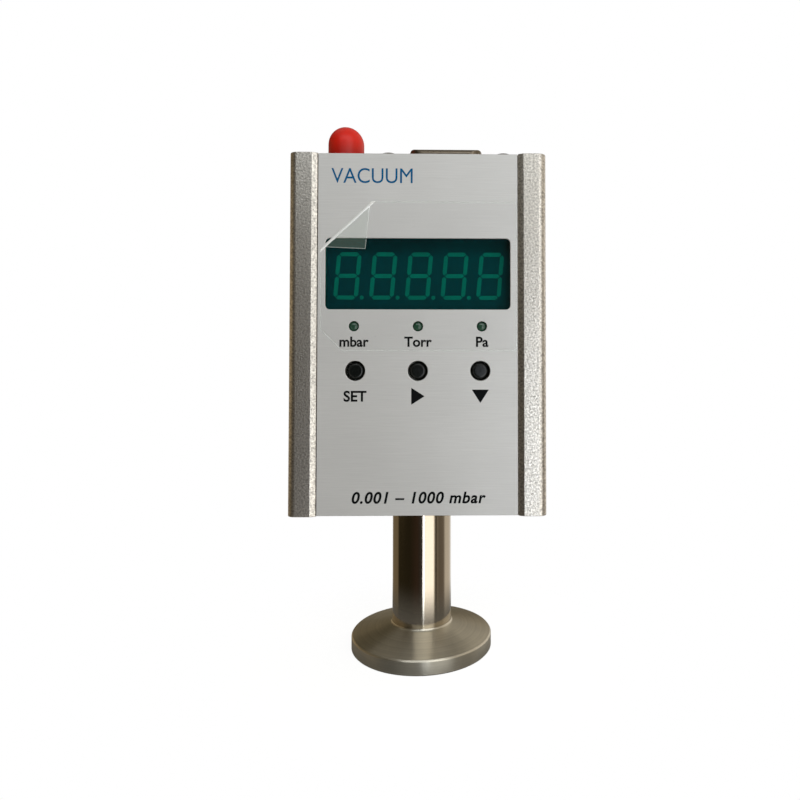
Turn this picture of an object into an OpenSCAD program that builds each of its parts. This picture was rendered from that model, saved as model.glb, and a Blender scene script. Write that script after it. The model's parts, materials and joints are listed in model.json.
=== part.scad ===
// Compact thermal-conductivity vacuum gauge: an extruded housing with a display, three lamps and
// three keys on its face, two connectors on top and a sensor tube that ends in a KF16 flange below.
// Millimetres. The origin is the centre of the flange's sealing face, +Z runs up the tube and
// the display faces -Y.

/* [Housing] */
// Outside width of the housing
body_w = 50.4; // [47:0.1:60]
// Outside depth of the housing, from front rails to back rails
body_d = 32; // [31:0.5:40]
// Height of the housing
body_h = 71; // [66:0.5:90]
// Height of the housing's underside above the sealing face
stem_h = 31; // [24:0.5:60]
// Thickness of the housing's walls
wall = 2; // [1.6:0.1:2.3]
// Radius of the housing's upright outer edges
corner_r = 1.6; // [0.6:0.1:2.4]
// Width of each rail, to its inner front edge
rail_w = 4.5; // [3.6:0.1:5]
// Depth of the recess between the rails
recess_depth = 1; // [0.7:0.1:1.3]
// Sideways run of the bevel along each side of the recess
recess_bevel = 1.05; // [0.5:0.05:1.3]
// Depth of that bevel, below which the side of the recess is upright
bevel_depth = 0.5; // [0.3:0.05:0.65]
// Radius of the round inner edge of each corner boss
boss_r = 2; // [1.7:0.1:2.4]
// Distance of each corner screw from the inner walls
boss_inset = 2.6; // [2.4:0.1:3]
// Depth of the grooves that guide the circuit boards
groove_depth = 0.8; // [0.5:0.1:1.1]
// Clearance round a board in its grooves
groove_gap = 0.1; // [0.05:0.05:0.2]

/* [Faceplate] */
// Thickness of the faceplate
face_t = 0.5; // [0.3:0.1:0.6]
// Gap round the faceplate
face_gap = 0.1; // [0.05:0.05:0.3]
// Distance of the window's ends from the faceplate's sides
window_margin = 1.45; // [1.3:0.05:3]
// Height of the window
window_h = 14; // [12:0.1:16]
// Corner radius of the window
window_r = 0.9; // [0.3:0.1:2]
// Drop from the top of the housing to the window
window_drop = 16.8; // [14:0.1:18]
// Diameter of the lamp holes
lamp_hole_d = 2; // [1.4:0.1:2.4]
// Spacing of the lamps
lamp_pitch = 12.5; // [8:0.1:15]
// Drop from the window to the middle of the lamps
lamp_drop = 3.3; // [3.2:0.1:6]
// Diameter of the key holes
key_hole_d = 3.9; // [3.8:0.1:5]
// Spacing of the keys
key_pitch = 12.2; // [9:0.1:15]
// Drop from the lamps to the middle of the keys
key_drop = 8.7; // [6:0.1:10]

/* [Window pane] */
// Thickness of the pane
pane_t = 1.5; // [0.8:0.1:1.8]
// Lap of the pane behind the edge of the window
pane_lap = 0.5; // [0.3:0.1:0.8]
// Clearance round the pane
pane_gap = 0.1; // [0.05:0.05:0.2]

/* [Protective film] */
// Thickness of the film
film_t = 0.1; // [0.05:0.05:0.2]
// Distance of the film's left edge from the faceplate's edge
film_left = 0.5; // [0.1:0.1:2]
// Distance of the film's right edge from the faceplate's edge
film_right = 0.15; // [0.05:0.05:2]
// Reach of the film above the window
film_over = 7.2; // [3:0.1:12]
// Reach of the film below the window
film_under = 8.1; // [5:0.1:9]
// Length of the folded corner along the film's upper edge
fold_x = 10.7; // [5:0.1:14]
// Length of the folded corner along the film's left edge
fold_z = 9.35; // [5:0.1:14]
// Inner radius of the fold
fold_r = 0.35; // [0.2:0.05:0.8]
// Angle that the folded flap stands off the film
flap_angle = 30; // [15:1:60]
// Size of the missing lower left corner
film_clip = 4.2; // [1:0.1:8]

/* [End plates] */
// Thickness of the top plate
top_plate_t = 1; // [0.9:0.1:1.5]
// Thickness of the bottom plate
bottom_plate_t = 2; // [1.5:0.1:3]
// Clearance round each end plate
plate_gap = 0.15; // [0.05:0.05:0.3]
// Thread diameter of the plate and collar screws
screw_d = 2; // [1.6:0.1:2.1]
// Head diameter of those screws
screw_head_d = 3.8; // [3.4:0.1:4]
// Length of those screws
screw_l = 6; // [5:0.5:10]
// Clearance of the screws in their holes
screw_gap = 0.05; // [0.02:0.01:0.1]
// Size of the hexagon socket in those screws, across flats
screw_socket_af = 1.3; // [1:0.1:1.5]
// Depth of that socket
screw_socket_h = 0.7; // [0.4:0.1:1]

/* [Data connector] */
// Distance of the connector's middle from the tube's axis, to the right
dsub_x = 5.2; // [4.5:0.1:5.5]
// Gap between the connector's flange and the main board
socket_gap = 1.15; // [0.5:0.05:1.5]
// Width of the connector's shell
dsub_w = 16.33; // [15:0.01:17]
// Depth of the connector's shell
dsub_d = 7.9; // [7.5:0.1:8.4]
// Reach of the shell above its flange
dsub_up = 5.6; // [5:0.1:8]
// Slope of the shell's ends, in degrees
dsub_slope = 10; // [5:1:12]
// Corner radius of the shell
dsub_r = 2.6; // [2.2:0.1:3]
// Radius of the rounded front edge of the shell
dsub_edge_r = 0.9; // [0.5:0.1:1.1]
// Thickness of the shell's sheet
dsub_sheet = 0.5; // [0.3:0.05:0.6]
// Width of the connector's flange
dsub_flange_w = 30.8; // [30.4:0.1:31.2]
// Depth of the connector's flange
dsub_flange_d = 12.5; // [11.6:0.1:13]
// Corner radius of the connector's flange
dsub_flange_r = 1; // [0.5:0.1:2]
// Height of the connector's rear half
dsub_rear_h = 5; // [4.6:0.1:6]
// Spacing of the two jack posts
post_pitch = 24.99; // [24.8:0.01:25.2]
// Size of the jack posts, across flats
post_af = 4.76; // [4.5:0.01:5]
// Height of the jack posts above the top plate
post_h = 4.5; // [4.5:0.05:6]
// Height of the jack posts' conical crowns
post_crown_h = 0.75; // [0.4:0.05:1]
// Diameter of the jack posts' flat ends
post_crown_d = 3.2; // [3.2:0.1:4.2]
// Thread diameter of the jack posts' studs
post_stud_d = 2.84; // [2.5:0.01:3]
// Diameter of the threaded hole in each jack post
post_hole_d = 2.3; // [2:0.1:2.5]
// Size of the jack posts' nuts, across flats
post_nut_af = 5.5; // [5:0.05:6]
// Thickness of the jack posts' nuts
post_nut_t = 2.4; // [1.8:0.1:2.6]
// Spacing of the contacts in a row
contact_pitch = 2.77; // [2.7:0.01:2.8]
// Spacing of the two rows of contacts
contact_rows = 2.84; // [2.7:0.01:2.9]
// Diameter of the contacts
contact_d = 1.3; // [1.1:0.1:1.4]

/* [Coaxial jack and cap] */
// Distance of the jack from the tube's axis, to the left
coax_x = 16.6; // [16.2:0.1:17]
// Outside diameter of the jack's thread
coax_d = 6.35; // [6:0.05:6.5]
// Height of the jack above the top plate
coax_up = 7; // [7:0.1:10]
// Size of the jack's shoulder and nut, across flats
coax_af = 8; // [7.8:0.1:8.4]
// Thickness of the jack's shoulder and nut
coax_nut_t = 2; // [1.5:0.1:2.4]
// Thickness of the lock washer
coax_washer_t = 0.6; // [0.3:0.1:0.8]
// Diameter of the lock washer
coax_washer_d = 9.2; // [8.6:0.1:9.6]
// Diameter of the bore at the jack's mouth
coax_bore_d = 4.6; // [4.2:0.1:4.8]
// Depth of the insulator below the jack's mouth
coax_recess = 2; // [1:0.1:3]
// Diameter of the jack's rear end
coax_rear_d = 5.2; // [5:0.1:6]
// Diameter of the jack's middle contact
coax_pin_d = 1.27; // [1:0.01:1.4]
// Thickness of the cap's wall
cap_wall = 0.65; // [0.5:0.05:0.9]
// Clearance of the cap on the jack's thread
cap_gap = 0.03; // [0.02:0.01:0.06]

/* [Sensor] */
// Diameter of the flange
flange_d = 30; // [28:0.1:32]
// Height of the flange's rim
rim_h = 3; // [2.8:0.1:3.4]
// Slope of the flange's back, in degrees
flange_slope = 15; // [10:1:18]
// Diameter of the centring recess in the sealing face
centring_d = 17.2; // [16.6:0.1:18]
// Depth of the centring recess
centring_h = 3; // [2:0.1:3.2]
// Edge break of the flange
flange_edge = 0.25; // [0.1:0.05:0.5]
// Radius of the weld between the flange and the tube
weld_r = 0.5; // [0.4:0.1:1.2]
// Outside diameter of the tube
tube_d = 12.7; // [12:0.05:13]
// Wall of the tube
tube_wall = 1.25; // [0.9:0.05:1.5]
// Reach of the tube into the housing
tube_in = 12; // [10:0.5:14]
// Diameter of the collar on the tube, inside the housing
collar_d = 22.4; // [22:0.1:23]
// Height of the collar
collar_h = 5; // [4.5:0.1:6]
// Height of the collar's flange
collar_flange_h = 3.5; // [2.5:0.1:4]
// Wall of the collar's neck
collar_neck = 1.4; // [1:0.1:1.6]
// Circle of the collar's screws
collar_pcd = 18; // [17.4:0.1:18.4]
// Clearance of fixed round fits
fit_gap = 0.03; // [0.01:0.01:0.05]
// Height of the sealed header in the tube's upper end
header_h = 3; // [2:0.1:4]
// Diameter of the header's glass
header_glass_d = 8.4; // [8:0.1:8.6]
// Diameter of the header's pins
header_pin_d = 0.8; // [0.6:0.05:0.9]
// Circle of the header's pins
header_pcd = 5; // [4.4:0.1:5.4]
// Reach of the header's pins below the header
header_pin_drop = 2; // [1:0.1:3]
// Distance of the heated wire below the header
filament_drop = 5; // [4:0.1:6]
// Length of the heated wire's coil
filament_l = 16; // [10:0.5:18]
// Outside diameter of that coil
filament_d = 1.6; // [1.2:0.1:1.8]
// Thickness of the heated wire
filament_wire = 0.2; // [0.15:0.01:0.25]
// Number of turns in that coil
filament_turns = 14; // [8:1:16]

/* [Keys and lamps] */
// Width of the key switches
switch_w = 6; // [5.8:0.1:6.2]
// Height of the switches from the board to the plunger's tip
switch_h = 9.5; // [9.4:0.1:9.8]
// Height of the switches' moulded bodies
switch_body_h = 3.2; // [2.8:0.1:3.6]
// Thickness of the switches' steel covers
switch_cover_t = 0.3; // [0.2:0.05:0.5]
// Diameter of the plungers
plunger_d = 3.5; // [3:0.1:3.6]
// Thickness of the plungers' collars
plunger_collar_t = 0.8; // [0.5:0.1:0.9]
// Step from the plungers to their collars
plunger_step = 0.45; // [0.3:0.05:0.5]
// Room under the plungers' collars, for the snap domes and the travel
dome_room = 0.8; // [0.7:0.05:1]
// Height of the snap domes
dome_h = 0.3; // [0.2:0.05:0.35]
// Thickness of the snap domes
dome_t = 0.1; // [0.05:0.01:0.12]
// Corner radius of the switches
switch_r = 0.4; // [0.2:0.1:0.8]
// Depth of the plungers' tips below the faceplate
key_recess = 0.9; // [0.4:0.1:1.2]
// Clearance round the moving plungers
plunger_gap = 0.1; // [0.05:0.05:0.14]
// Diameter of the lamps
lamp_d = 3; // [2.6:0.1:3.2]
// Diameter of the lamps' base flanges
lamp_flange_d = 3.8; // [3.6:0.1:4]
// Length of the lamps
lamp_l = 5.3; // [4:0.1:6]
// Thickness of the lamps' base flanges
lamp_flange_t = 1; // [0.6:0.1:1.2]
// Depth of the lamps' tips below the faceplate
lamp_recess = 0.3; // [0.2:0.05:0.4]
// Thickness of the lamps' square leads
lead_w = 0.5; // [0.4:0.05:0.6]
// Spacing of the lamps' leads
lead_pitch = 2.54; // [2.2:0.01:2.6]

/* [Display] */
// Clearance between the display's case and the front bosses
module_gap = 0.2; // [0.2:0.05:1.2]
// Height of the display's case
module_h = 15; // [13:0.1:15.4]
// Depth of the display's case
module_t = 7.2; // [6.8:0.1:7.4]
// Number of digits
digits = 5; // [3:1:5]
// Distance of the outer digits from the ends of the display's case
digit_margin = 1.65; // [0.4:0.05:1.8]
// Height of the digits
digit_h = 9.5; // [9:0.1:10]
// Width of the digits
digit_w = 4.9; // [4.5:0.1:5]
// Width of a segment
segment_w = 0.8; // [0.6:0.05:1]
// Gap between segments
segment_gap = 0.12; // [0.08:0.01:0.2]
// Slant of the digits, in degrees
digit_slant = 5; // [0:1:8]
// Thickness of the segments on the case
segment_t = 0.1; // [0.05:0.05:0.2]

/* [Circuit boards] */
// Thickness of the boards
board_t = 1.6; // [1:0.1:1.7]
// Reach of the display board above the display's case
board_over = 2; // [1:0.1:4]
// Clearance between the main board and the corner bosses
board_boss_gap = 0.6; // [0.3:0.1:1]
// Clearance between a board and the top plate
board_top_gap = 0.2; // [0.1:0.05:0.5]
// Room round the collar and tube in the boards' notches
notch_gap = 1.2; // [0.6:0.1:2]
// Thickness of the round board on the header
sensor_board_t = 1; // [0.8:0.1:1.6]
// Height of the round board above the tube's end
sensor_board_up = 1.2; // [0.8:0.1:1.6]
// Thickness of the square link pins
pin_w = 0.64; // [0.5:0.01:0.7]
// Spacing of the square link pins
pin_pitch = 2.54; // [2:0.01:2.6]
// Clearance of the pins in their holes
pin_gap = 0.05; // [0.02:0.01:0.1]
// Number of pins between the display board and the main board
stack_pins = 8; // [4:1:8]
// Number of pins between the connector board and the main board
top_pins = 6; // [4:1:6]
// Thickness of the pin strip on the main board
strip_t = 2.5; // [2:0.1:3]
// Reach of pins and leads past a board
pin_out = 1; // [0.5:0.1:1.5]
// Height of the sensor's pins above the main board's notch
sensor_link_up = 2.6; // [2:0.1:4]
// Distance of the sensor's bent pins behind the header's pins
sensor_link_gap = 1.6; // [1:0.1:1.8]
// Gap between the connector board's bent pins and the connector's rear half
top_link_gap = 0.3; // [0.2:0.05:0.6]
// Height of the connector board's bent pins above it
top_link_up = 2.2; // [1.5:0.1:3]
// Room round the connector board
connector_board_gap = 0.3; // [0.2:0.1:0.8]

/* [Chips and capacitors] */
// Width of the microcontroller
mcu_w = 10; // [8:0.1:11]
// Height of the microcontroller
mcu_t = 1.6; // [1.2:0.1:2]
// Spacing of the microcontroller's leads
mcu_pitch = 1; // [0.8:0.05:1.1]
// Distance of the two small chips from the main board's sides
chip_side = 8.7; // [8:0.1:9]
// Width of the bridge amplifier
amp_w = 4; // [3.8:0.1:4.4]
// Length of the bridge amplifier
amp_l = 5; // [4.8:0.1:5.4]
// Height of the bridge amplifier
amp_t = 1.75; // [1.4:0.05:2]
// Spacing of the bridge amplifier's leads
amp_pitch = 1.27; // [1.1:0.01:1.3]
// Width of the regulator
regulator_w = 3.5; // [3.2:0.1:4]
// Length of the regulator
regulator_l = 6.5; // [6:0.1:7]
// Height of the regulator
regulator_t = 1.8; // [1.5:0.1:2]
// Spacing of the regulator's leads
regulator_pitch = 2.3; // [2:0.1:2.4]
// Reach of the chips' leads
chip_lead = 1; // [0.8:0.1:1.2]
// Thickness of the chips' leads
chip_lead_t = 0.2; // [0.15:0.05:0.25]
// Diameter of the capacitors
can_d = 6.3; // [5:0.1:6.6]
// Height of the capacitors
can_h = 5.4; // [4:0.1:6]
// Thickness of the capacitors' feet
can_foot_t = 0.8; // [0.5:0.1:1]
// Overhang of the capacitors' feet
can_foot_lap = 0.15; // [0.1:0.05:0.3]
// Distance of the capacitors from the pin strip
can_gap = 3; // [2:0.1:3.2]

/* [Hidden] */

$fn = 64;
// Overshoot of cutting tools
cut = 1;

// Housing: heights, inner half sizes and the faces that the other pieces sit on
base_z = stem_h;
top_z = base_z + body_h;
recess_w = body_w - 2 * rail_w;
in_x = body_w / 2 - wall;
in_y = body_d / 2 - recess_depth - wall;
floor_y = -body_d / 2 + recess_depth;
seat_lap = groove_depth + groove_gap;
boss_x = in_x - boss_inset;
boss_y = in_y - boss_inset;
top_plate_z = top_z - top_plate_t;
bottom_plate_z = base_z + bottom_plate_t;

// Faceplate: its front face, and the heights of its openings
face_y = floor_y - face_t;
face_w = recess_w - 2 * recess_bevel - 2 * face_gap;
window_w = face_w - 2 * window_margin;
pane_room = pane_lap + pane_gap;
window_top_z = top_z - window_drop;
window_z = window_top_z - window_h / 2;
window_low_z = window_top_z - window_h;
lamp_z = window_low_z - lamp_drop;
key_z = lamp_z - key_drop;
row_of_three = [-1, 0, 1];

// Display board and what it carries
tip_y = face_y + key_recess;
display_board_y = tip_y + switch_h;
display_board_top = window_z + module_h / 2 + board_over;
display_back_y = display_board_y + board_t;
module_y = display_board_y - module_t;
lamp_tip_y = face_y + lamp_recess;
lamp_base_y = lamp_tip_y + lamp_l;
module_w = 2 * (boss_x - boss_r - module_gap);
digit_pitch = (module_w - 2 * digit_margin - digit_w) / (digits - 1);

// Main board, behind the tube and in front of the rear bosses
main_back_y = boss_y - boss_r - board_boss_gap;
main_y = main_back_y - board_t;
board_half_w = in_x + groove_depth - groove_gap;

// Tube, header and round board
tube_r = tube_d / 2;
tube_in_r = tube_r - tube_wall;
tube_top = base_z + tube_in;
header_z = tube_top - header_h;
sensor_board_z = tube_top + sensor_board_up;
sensor_board_r = tube_r + pin_out;
notch_half_w = collar_d / 2 + notch_gap;
notch_top = sensor_board_z + sensor_board_t + notch_gap;
sensor_link_z = notch_top + sensor_link_up;
sensor_link_y = header_pcd / 2 + sensor_link_gap;
sensor_link_pins = 4;

// Connectors on top
dsub_y = main_y - socket_gap - dsub_flange_d / 2;
dsub_flange_z = top_plate_z - dsub_sheet;
dsub_rear_z = dsub_flange_z - dsub_sheet;
dsub_low_z = dsub_rear_z - dsub_rear_h;
dsub_top_z = top_plate_z + dsub_up;
dsub_gap = 0.05;
dsub_inset = dsub_sheet + dsub_gap;
dsub_lip = 1.3;
dsub_rear_grow = 1.2;
connector_board_z = dsub_low_z - board_t;
contact_gap = 0.05;
contact_wall = 0.3;
tail_d = 0.6;
post_gap = 0.1;
coax_gap = 0.1;
cap_seat_gap = 0.15;
cap_top_gap = 0.1;
stud_out = 0.4;
cap_r = coax_d / 2 + cap_gap + cap_wall;
cap_low_z = top_z + coax_washer_t + coax_nut_t + cap_seat_gap;
cap_bore_top = top_z + coax_up + cap_top_gap;
top_link_y = dsub_y + dsub_d / 2 + dsub_rear_grow + top_link_gap + pin_w / 2;
top_link_z = connector_board_z + board_t + top_link_up;

// Shared shapes

module rounded_rect(w, h, r) {
    square([w - 2 * r, h], center = true);
    square([w, h - 2 * r], center = true);
    for (sx = [-1, 1], sy = [-1, 1])
        translate([sx * (w / 2 - r), sy * (h / 2 - r)]) circle(r);
}

// A flat shape drawn in X and Z, made t thick behind the plane y
module upright(y, t) {
    translate([0, y + t, 0]) rotate([90, 0, 0]) linear_extrude(t) children();
}

// A round bar along Y
module bar_y(x, z, y0, y1, d) {
    translate([x, y1, z]) rotate([90, 0, 0]) cylinder(d = d, h = y1 - y0);
}

// A hexagonal prism, measured across its flats
module hexagon(af, h) {
    cylinder(d = af / cos(30), h = h, $fn = 6);
}

// Points along an arc, from angle a0 to angle a1
function arc(c, r, a0, a1, steps = 8) =
    [for (i = [0 : steps]) let (a = a0 + (a1 - a0) * i / steps) c + r * [cos(a), sin(a)]];

// A D-shaped connector outline with sloping ends; inset moves every edge inwards
module d_outline(inset = 0) {
    r = dsub_r - inset;
    cx = dsub_w / 2 - dsub_r;
    cy = dsub_d / 2 - dsub_r;
    low_cx = cx - 2 * cy * tan(dsub_slope);
    polygon(concat(arc([cx, cy], r, 90, -dsub_slope), arc([low_cx, -cy], r, -dsub_slope, -90),
        arc([-low_cx, -cy], r, -90, dsub_slope - 180), arc([-cx, cy], r, dsub_slope - 180, -270)));
}

// A countersunk screw that points down from its head at the origin
module csk_screw() {
    cone_h = (screw_head_d - screw_d) / 2;
    difference() {
        union() {
            translate([0, 0, -screw_l]) cylinder(d = screw_d, h = screw_l - cone_h);
            translate([0, 0, -cone_h]) cylinder(d1 = screw_d, d2 = screw_head_d, h = cone_h);
        }
        translate([0, 0, -screw_socket_h]) hexagon(screw_socket_af, cut + screw_socket_h);
    }
}

// The hole for such a screw, with room round it
module csk_hole(depth) {
    cone_h = (screw_head_d - screw_d) / 2;
    translate([0, 0, -depth]) cylinder(d = screw_d + 2 * screw_gap, h = depth + cut);
    translate([0, 0, -cone_h])
        cylinder(d1 = screw_d + 2 * screw_gap, d2 = screw_head_d + 2 * screw_gap, h = cone_h);
}

module at_plate_screws(z) {
    for (sx = [-1, 1], sy = [-1, 1])
        translate([sx * boss_x, sy * boss_y, z]) children();
}

module at_collar_screws(z) {
    for (a = [30, 150, 270])
        rotate(a) translate([collar_pcd / 2, 0, z]) children();
}

module at_posts(z) {
    for (sx = [-1, 1])
        translate([dsub_x + sx * post_pitch / 2, dsub_y, z]) children();
}

module at_contacts(z) {
    for (row = [0, 1], i = [0 : 4 - row])
        translate([dsub_x + (i - 2 + row / 2) * contact_pitch,
            dsub_y + (1 / 2 - row) * contact_rows, z]) children();
}

// A row of square pins along X, each centred on the origin's line
module pin_row(count, pitch) {
    for (i = [0 : count - 1])
        translate([(i - (count - 1) / 2) * pitch, 0, 0]) children();
}

// Housing

module recess_outline() {
    outer = recess_w / 2 + recess_bevel;
    inner = recess_w / 2 - recess_bevel;
    top_y = -body_d / 2 - bevel_depth;
    foot_y = -body_d / 2 + bevel_depth;
    polygon([[-outer, top_y], [outer, top_y], [inner, foot_y], [inner, floor_y],
        [-inner, floor_y], [-inner, foot_y]]);
}

module boss_outline() {
    translate([boss_x, boss_y]) circle(boss_r);
    translate([boss_x, boss_y - boss_r]) square([in_x - boss_x + cut / 2, in_y - boss_y + boss_r + cut / 2]);
    translate([boss_x - boss_r, boss_y]) square([in_x - boss_x + boss_r + cut / 2, in_y - boss_y + cut / 2]);
}

module groove_outline(y) {
    translate([-in_x - groove_depth, y - groove_gap])
        square([2 * (in_x + groove_depth), board_t + 2 * groove_gap]);
}

module housing_profile() {
    difference() {
        rounded_rect(body_w, body_d, corner_r);
        recess_outline();
        mirror([0, 1]) recess_outline();
        difference() {
            square([2 * in_x, 2 * in_y], center = true);
            for (mx = [0, 1], my = [0, 1])
                mirror([mx, 0]) mirror([0, my]) boss_outline();
        }
        groove_outline(display_board_y);
        groove_outline(main_y);
    }
}

// Rebate in an end of the housing, which also takes in the grooves
module plate_seat(z, t) {
    translate([0, 0, z]) linear_extrude(t)
        square([2 * (in_x + seat_lap), 2 * (in_y + seat_lap)], center = true);
}

module body_shell() color("silver") {
    difference() {
        translate([0, 0, base_z]) linear_extrude(body_h) housing_profile();
        plate_seat(top_plate_z, top_plate_t + cut);
        plate_seat(base_z - cut, bottom_plate_t + cut);
        at_plate_screws(top_z) csk_hole(screw_l + cut);
        at_plate_screws(base_z) mirror([0, 0, 1]) csk_hole(screw_l + cut);
        upright(floor_y - cut, wall + 2 * cut) translate([0, window_z])
            rounded_rect(window_w + 2 * pane_room, window_h + 2 * pane_room, window_r);
        for (i = row_of_three) {
            bar_y(i * lamp_pitch, lamp_z, floor_y - cut, floor_y + wall + cut, lamp_d + 2 * plunger_gap);
            bar_y(i * key_pitch, key_z, floor_y - cut, floor_y + wall + cut, key_hole_d);
        }
    }
}

module front_plate() color("gainsboro") {
    upright(face_y, face_t) difference() {
        translate([-face_w / 2, base_z + face_gap]) square([face_w, body_h - 2 * face_gap]);
        translate([0, window_z]) rounded_rect(window_w, window_h, window_r);
        for (i = row_of_three) {
            translate([i * lamp_pitch, lamp_z]) circle(d = lamp_hole_d);
            translate([i * key_pitch, key_z]) circle(d = key_hole_d);
        }
    }
}

module display_window() color("darkslategray") {
    upright(floor_y, pane_t) translate([0, window_z])
        rounded_rect(window_w + 2 * pane_lap, window_h + 2 * pane_lap, window_r);
}

// Film: the part that lies flat, the rolled fold, and the flap that stands off
module protective_film() color("white") {
    left = -face_w / 2 + film_left;
    right = face_w / 2 - film_right;
    top = window_top_z + film_over;
    low = window_low_z - film_under;
    fold_len = norm([fold_x, fold_z]);
    fold_dir = atan2(fold_z, fold_x);
    corner_reach = fold_x * fold_z / fold_len;
    corner_along = fold_z * fold_z / fold_len;
    turn = 180 - flap_angle;
    rolled = (fold_r + film_t / 2) * turn * PI / 180;
    start = corner_along * rolled / corner_reach;
    end = fold_len - (fold_len - corner_along) * rolled / corner_reach;
    steps = 4;
    upright(face_y - film_t, film_t)
        polygon([[left, top - fold_z], [left + fold_x, top], [right, top], [right, low],
            [left + film_clip, low], [left, low + film_clip]]);
    translate([left, face_y, top - fold_z]) rotate([180, -90 - fold_dir, 0])
        translate([0, film_t + fold_r, 0]) {
            translate([0, 0, start]) linear_extrude(end - start) intersection() {
                difference() {
                    circle(fold_r + film_t);
                    circle(fold_r);
                }
                polygon(concat([[0, 0]], [for (i = [0 : steps]) let (a = turn * i / steps - 90)
                    3 * (fold_r + film_t) * [cos(a), sin(a)]]));
            }
            rotate([90, 0, turn]) translate([0, 0, fold_r]) linear_extrude(film_t)
                polygon([[0, start], [corner_reach - rolled, corner_along], [0, end]]);
        }
}

// End plates

module end_plate_outline() {
    reach = seat_lap - plate_gap;
    square([2 * (in_x + reach), 2 * (in_y + reach)], center = true);
}

module top_plate() color("silver") {
    difference() {
        translate([0, 0, top_plate_z]) linear_extrude(top_plate_t) end_plate_outline();
        at_plate_screws(top_z) csk_hole(top_plate_t + cut);
        translate([dsub_x, dsub_y, top_plate_z - cut]) linear_extrude(top_plate_t + 2 * cut)
            d_outline(-2 * dsub_gap);
        at_posts(top_plate_z - cut) cylinder(d = post_stud_d + 2 * post_gap, h = top_plate_t + 2 * cut);
        translate([-coax_x, dsub_y, top_plate_z - cut])
            cylinder(d = coax_d + 2 * coax_gap, h = top_plate_t + 2 * cut);
    }
}

module bottom_plate() color("silver") {
    difference() {
        translate([0, 0, base_z]) linear_extrude(bottom_plate_t) end_plate_outline();
        at_plate_screws(base_z) mirror([0, 0, 1]) csk_hole(bottom_plate_t + cut);
        at_collar_screws(base_z) mirror([0, 0, 1]) csk_hole(bottom_plate_t + cut);
        translate([0, 0, base_z - cut]) cylinder(r = tube_r + fit_gap, h = bottom_plate_t + 2 * cut);
    }
}

module top_plate_screws() color("dimgray") at_plate_screws(top_z) csk_screw();

module bottom_plate_screws() color("dimgray") at_plate_screws(base_z) mirror([0, 0, 1]) csk_screw();

// Data connector

// The shell's outer form: the D outline with a rounded front edge
module dsub_form(z0, z1, inset = 0) {
    r = dsub_edge_r - inset / 2;
    w = dsub_w - 2 * inset;
    d = dsub_d - 2 * inset;
    h = z1 - z0;
    intersection() {
        translate([0, 0, z0]) linear_extrude(h) d_outline(inset);
        upright(-d, 2 * d) translate([0, z1 - h]) rounded_rect(w, 2 * h, r);
        translate([-w, 0, z1 - h]) rotate([90, 0, 90]) linear_extrude(2 * w) rounded_rect(d, 2 * h, r);
    }
}

module dsub_flange(z) {
    translate([0, 0, z]) linear_extrude(dsub_sheet) difference() {
        rounded_rect(dsub_flange_w, dsub_flange_d, dsub_flange_r);
        for (sx = [-1, 1])
            translate([sx * post_pitch / 2, 0]) circle(d = post_stud_d + 2 * post_gap);
    }
}

module dsub_shell() color("tan") {
    translate([dsub_x, dsub_y, 0]) difference() {
        union() {
            dsub_flange(dsub_flange_z);
            dsub_form(dsub_flange_z + dsub_sheet / 2, dsub_top_z);
        }
        dsub_form(dsub_flange_z - cut, dsub_top_z - dsub_sheet, dsub_sheet);
        translate([0, 0, dsub_top_z - dsub_edge_r - cut]) linear_extrude(dsub_edge_r + 2 * cut)
            d_outline(dsub_lip);
    }
}

module dsub_rear_shell() color("tan") {
    translate([dsub_x, dsub_y, 0]) difference() {
        union() {
            dsub_flange(dsub_rear_z);
            translate([0, 0, dsub_low_z + dsub_sheet]) linear_extrude(dsub_rear_h) d_outline(-dsub_rear_grow);
        }
        translate([0, 0, dsub_low_z]) linear_extrude(dsub_rear_h + 2 * cut + dsub_sheet)
            d_outline(dsub_sheet - dsub_rear_grow);
    }
}

module dsub_insulator() color("darkslategray") {
    difference() {
        translate([dsub_x, dsub_y, 0]) {
            translate([0, 0, dsub_low_z]) linear_extrude(dsub_rear_h + dsub_sheet)
                d_outline(dsub_sheet - dsub_rear_grow + dsub_gap);
            dsub_form(dsub_flange_z - dsub_sheet / 2, dsub_top_z - dsub_inset, dsub_inset);
            translate([0, 0, dsub_top_z - 2 * dsub_edge_r]) linear_extrude(2 * dsub_edge_r - 2 * dsub_gap)
                d_outline(dsub_lip + dsub_gap);
        }
        at_contacts(dsub_low_z - cut)
            cylinder(d = contact_d + 2 * contact_gap, h = dsub_top_z - dsub_low_z + 2 * cut);
    }
}

module dsub_contacts() color("gold") {
    at_contacts(0) difference() {
        union() {
            translate([0, 0, dsub_low_z]) cylinder(d = contact_d, h = dsub_top_z - dsub_low_z - dsub_edge_r);
            translate([0, 0, connector_board_z - pin_out])
                cylinder(d = tail_d, h = dsub_low_z - connector_board_z + pin_out + cut / 2);
        }
        translate([0, 0, dsub_flange_z]) cylinder(d = contact_d - 2 * contact_wall, h = dsub_up + cut);
    }
}

module dsub_jackscrews() color("dimgray") {
    stud_l = top_plate_t + 2 * dsub_sheet + post_nut_t + stud_out;
    edge = post_af / cos(30) / 2;
    at_posts(0) difference() {
        union() {
            translate([0, 0, top_z - stud_l]) cylinder(d = post_stud_d, h = stud_l);
            intersection() {
                translate([0, 0, top_z]) hexagon(post_af, post_h);
                translate([0, 0, top_z]) rotate_extrude()
                    polygon([[0, 0], [edge, 0], [edge, post_h - post_crown_h], [post_crown_d / 2, post_h],
                        [0, post_h]]);
            }
        }
        translate([0, 0, top_z]) cylinder(d = post_hole_d, h = post_h + cut);
    }
}

module jackscrew_nuts() color("dimgray") {
    at_posts(dsub_rear_z - post_nut_t) rotate(30) difference() {
        hexagon(post_nut_af, post_nut_t);
        translate([0, 0, -cut]) cylinder(d = post_stud_d + 2 * fit_gap, h = post_nut_t + 2 * cut);
    }
}

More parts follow.
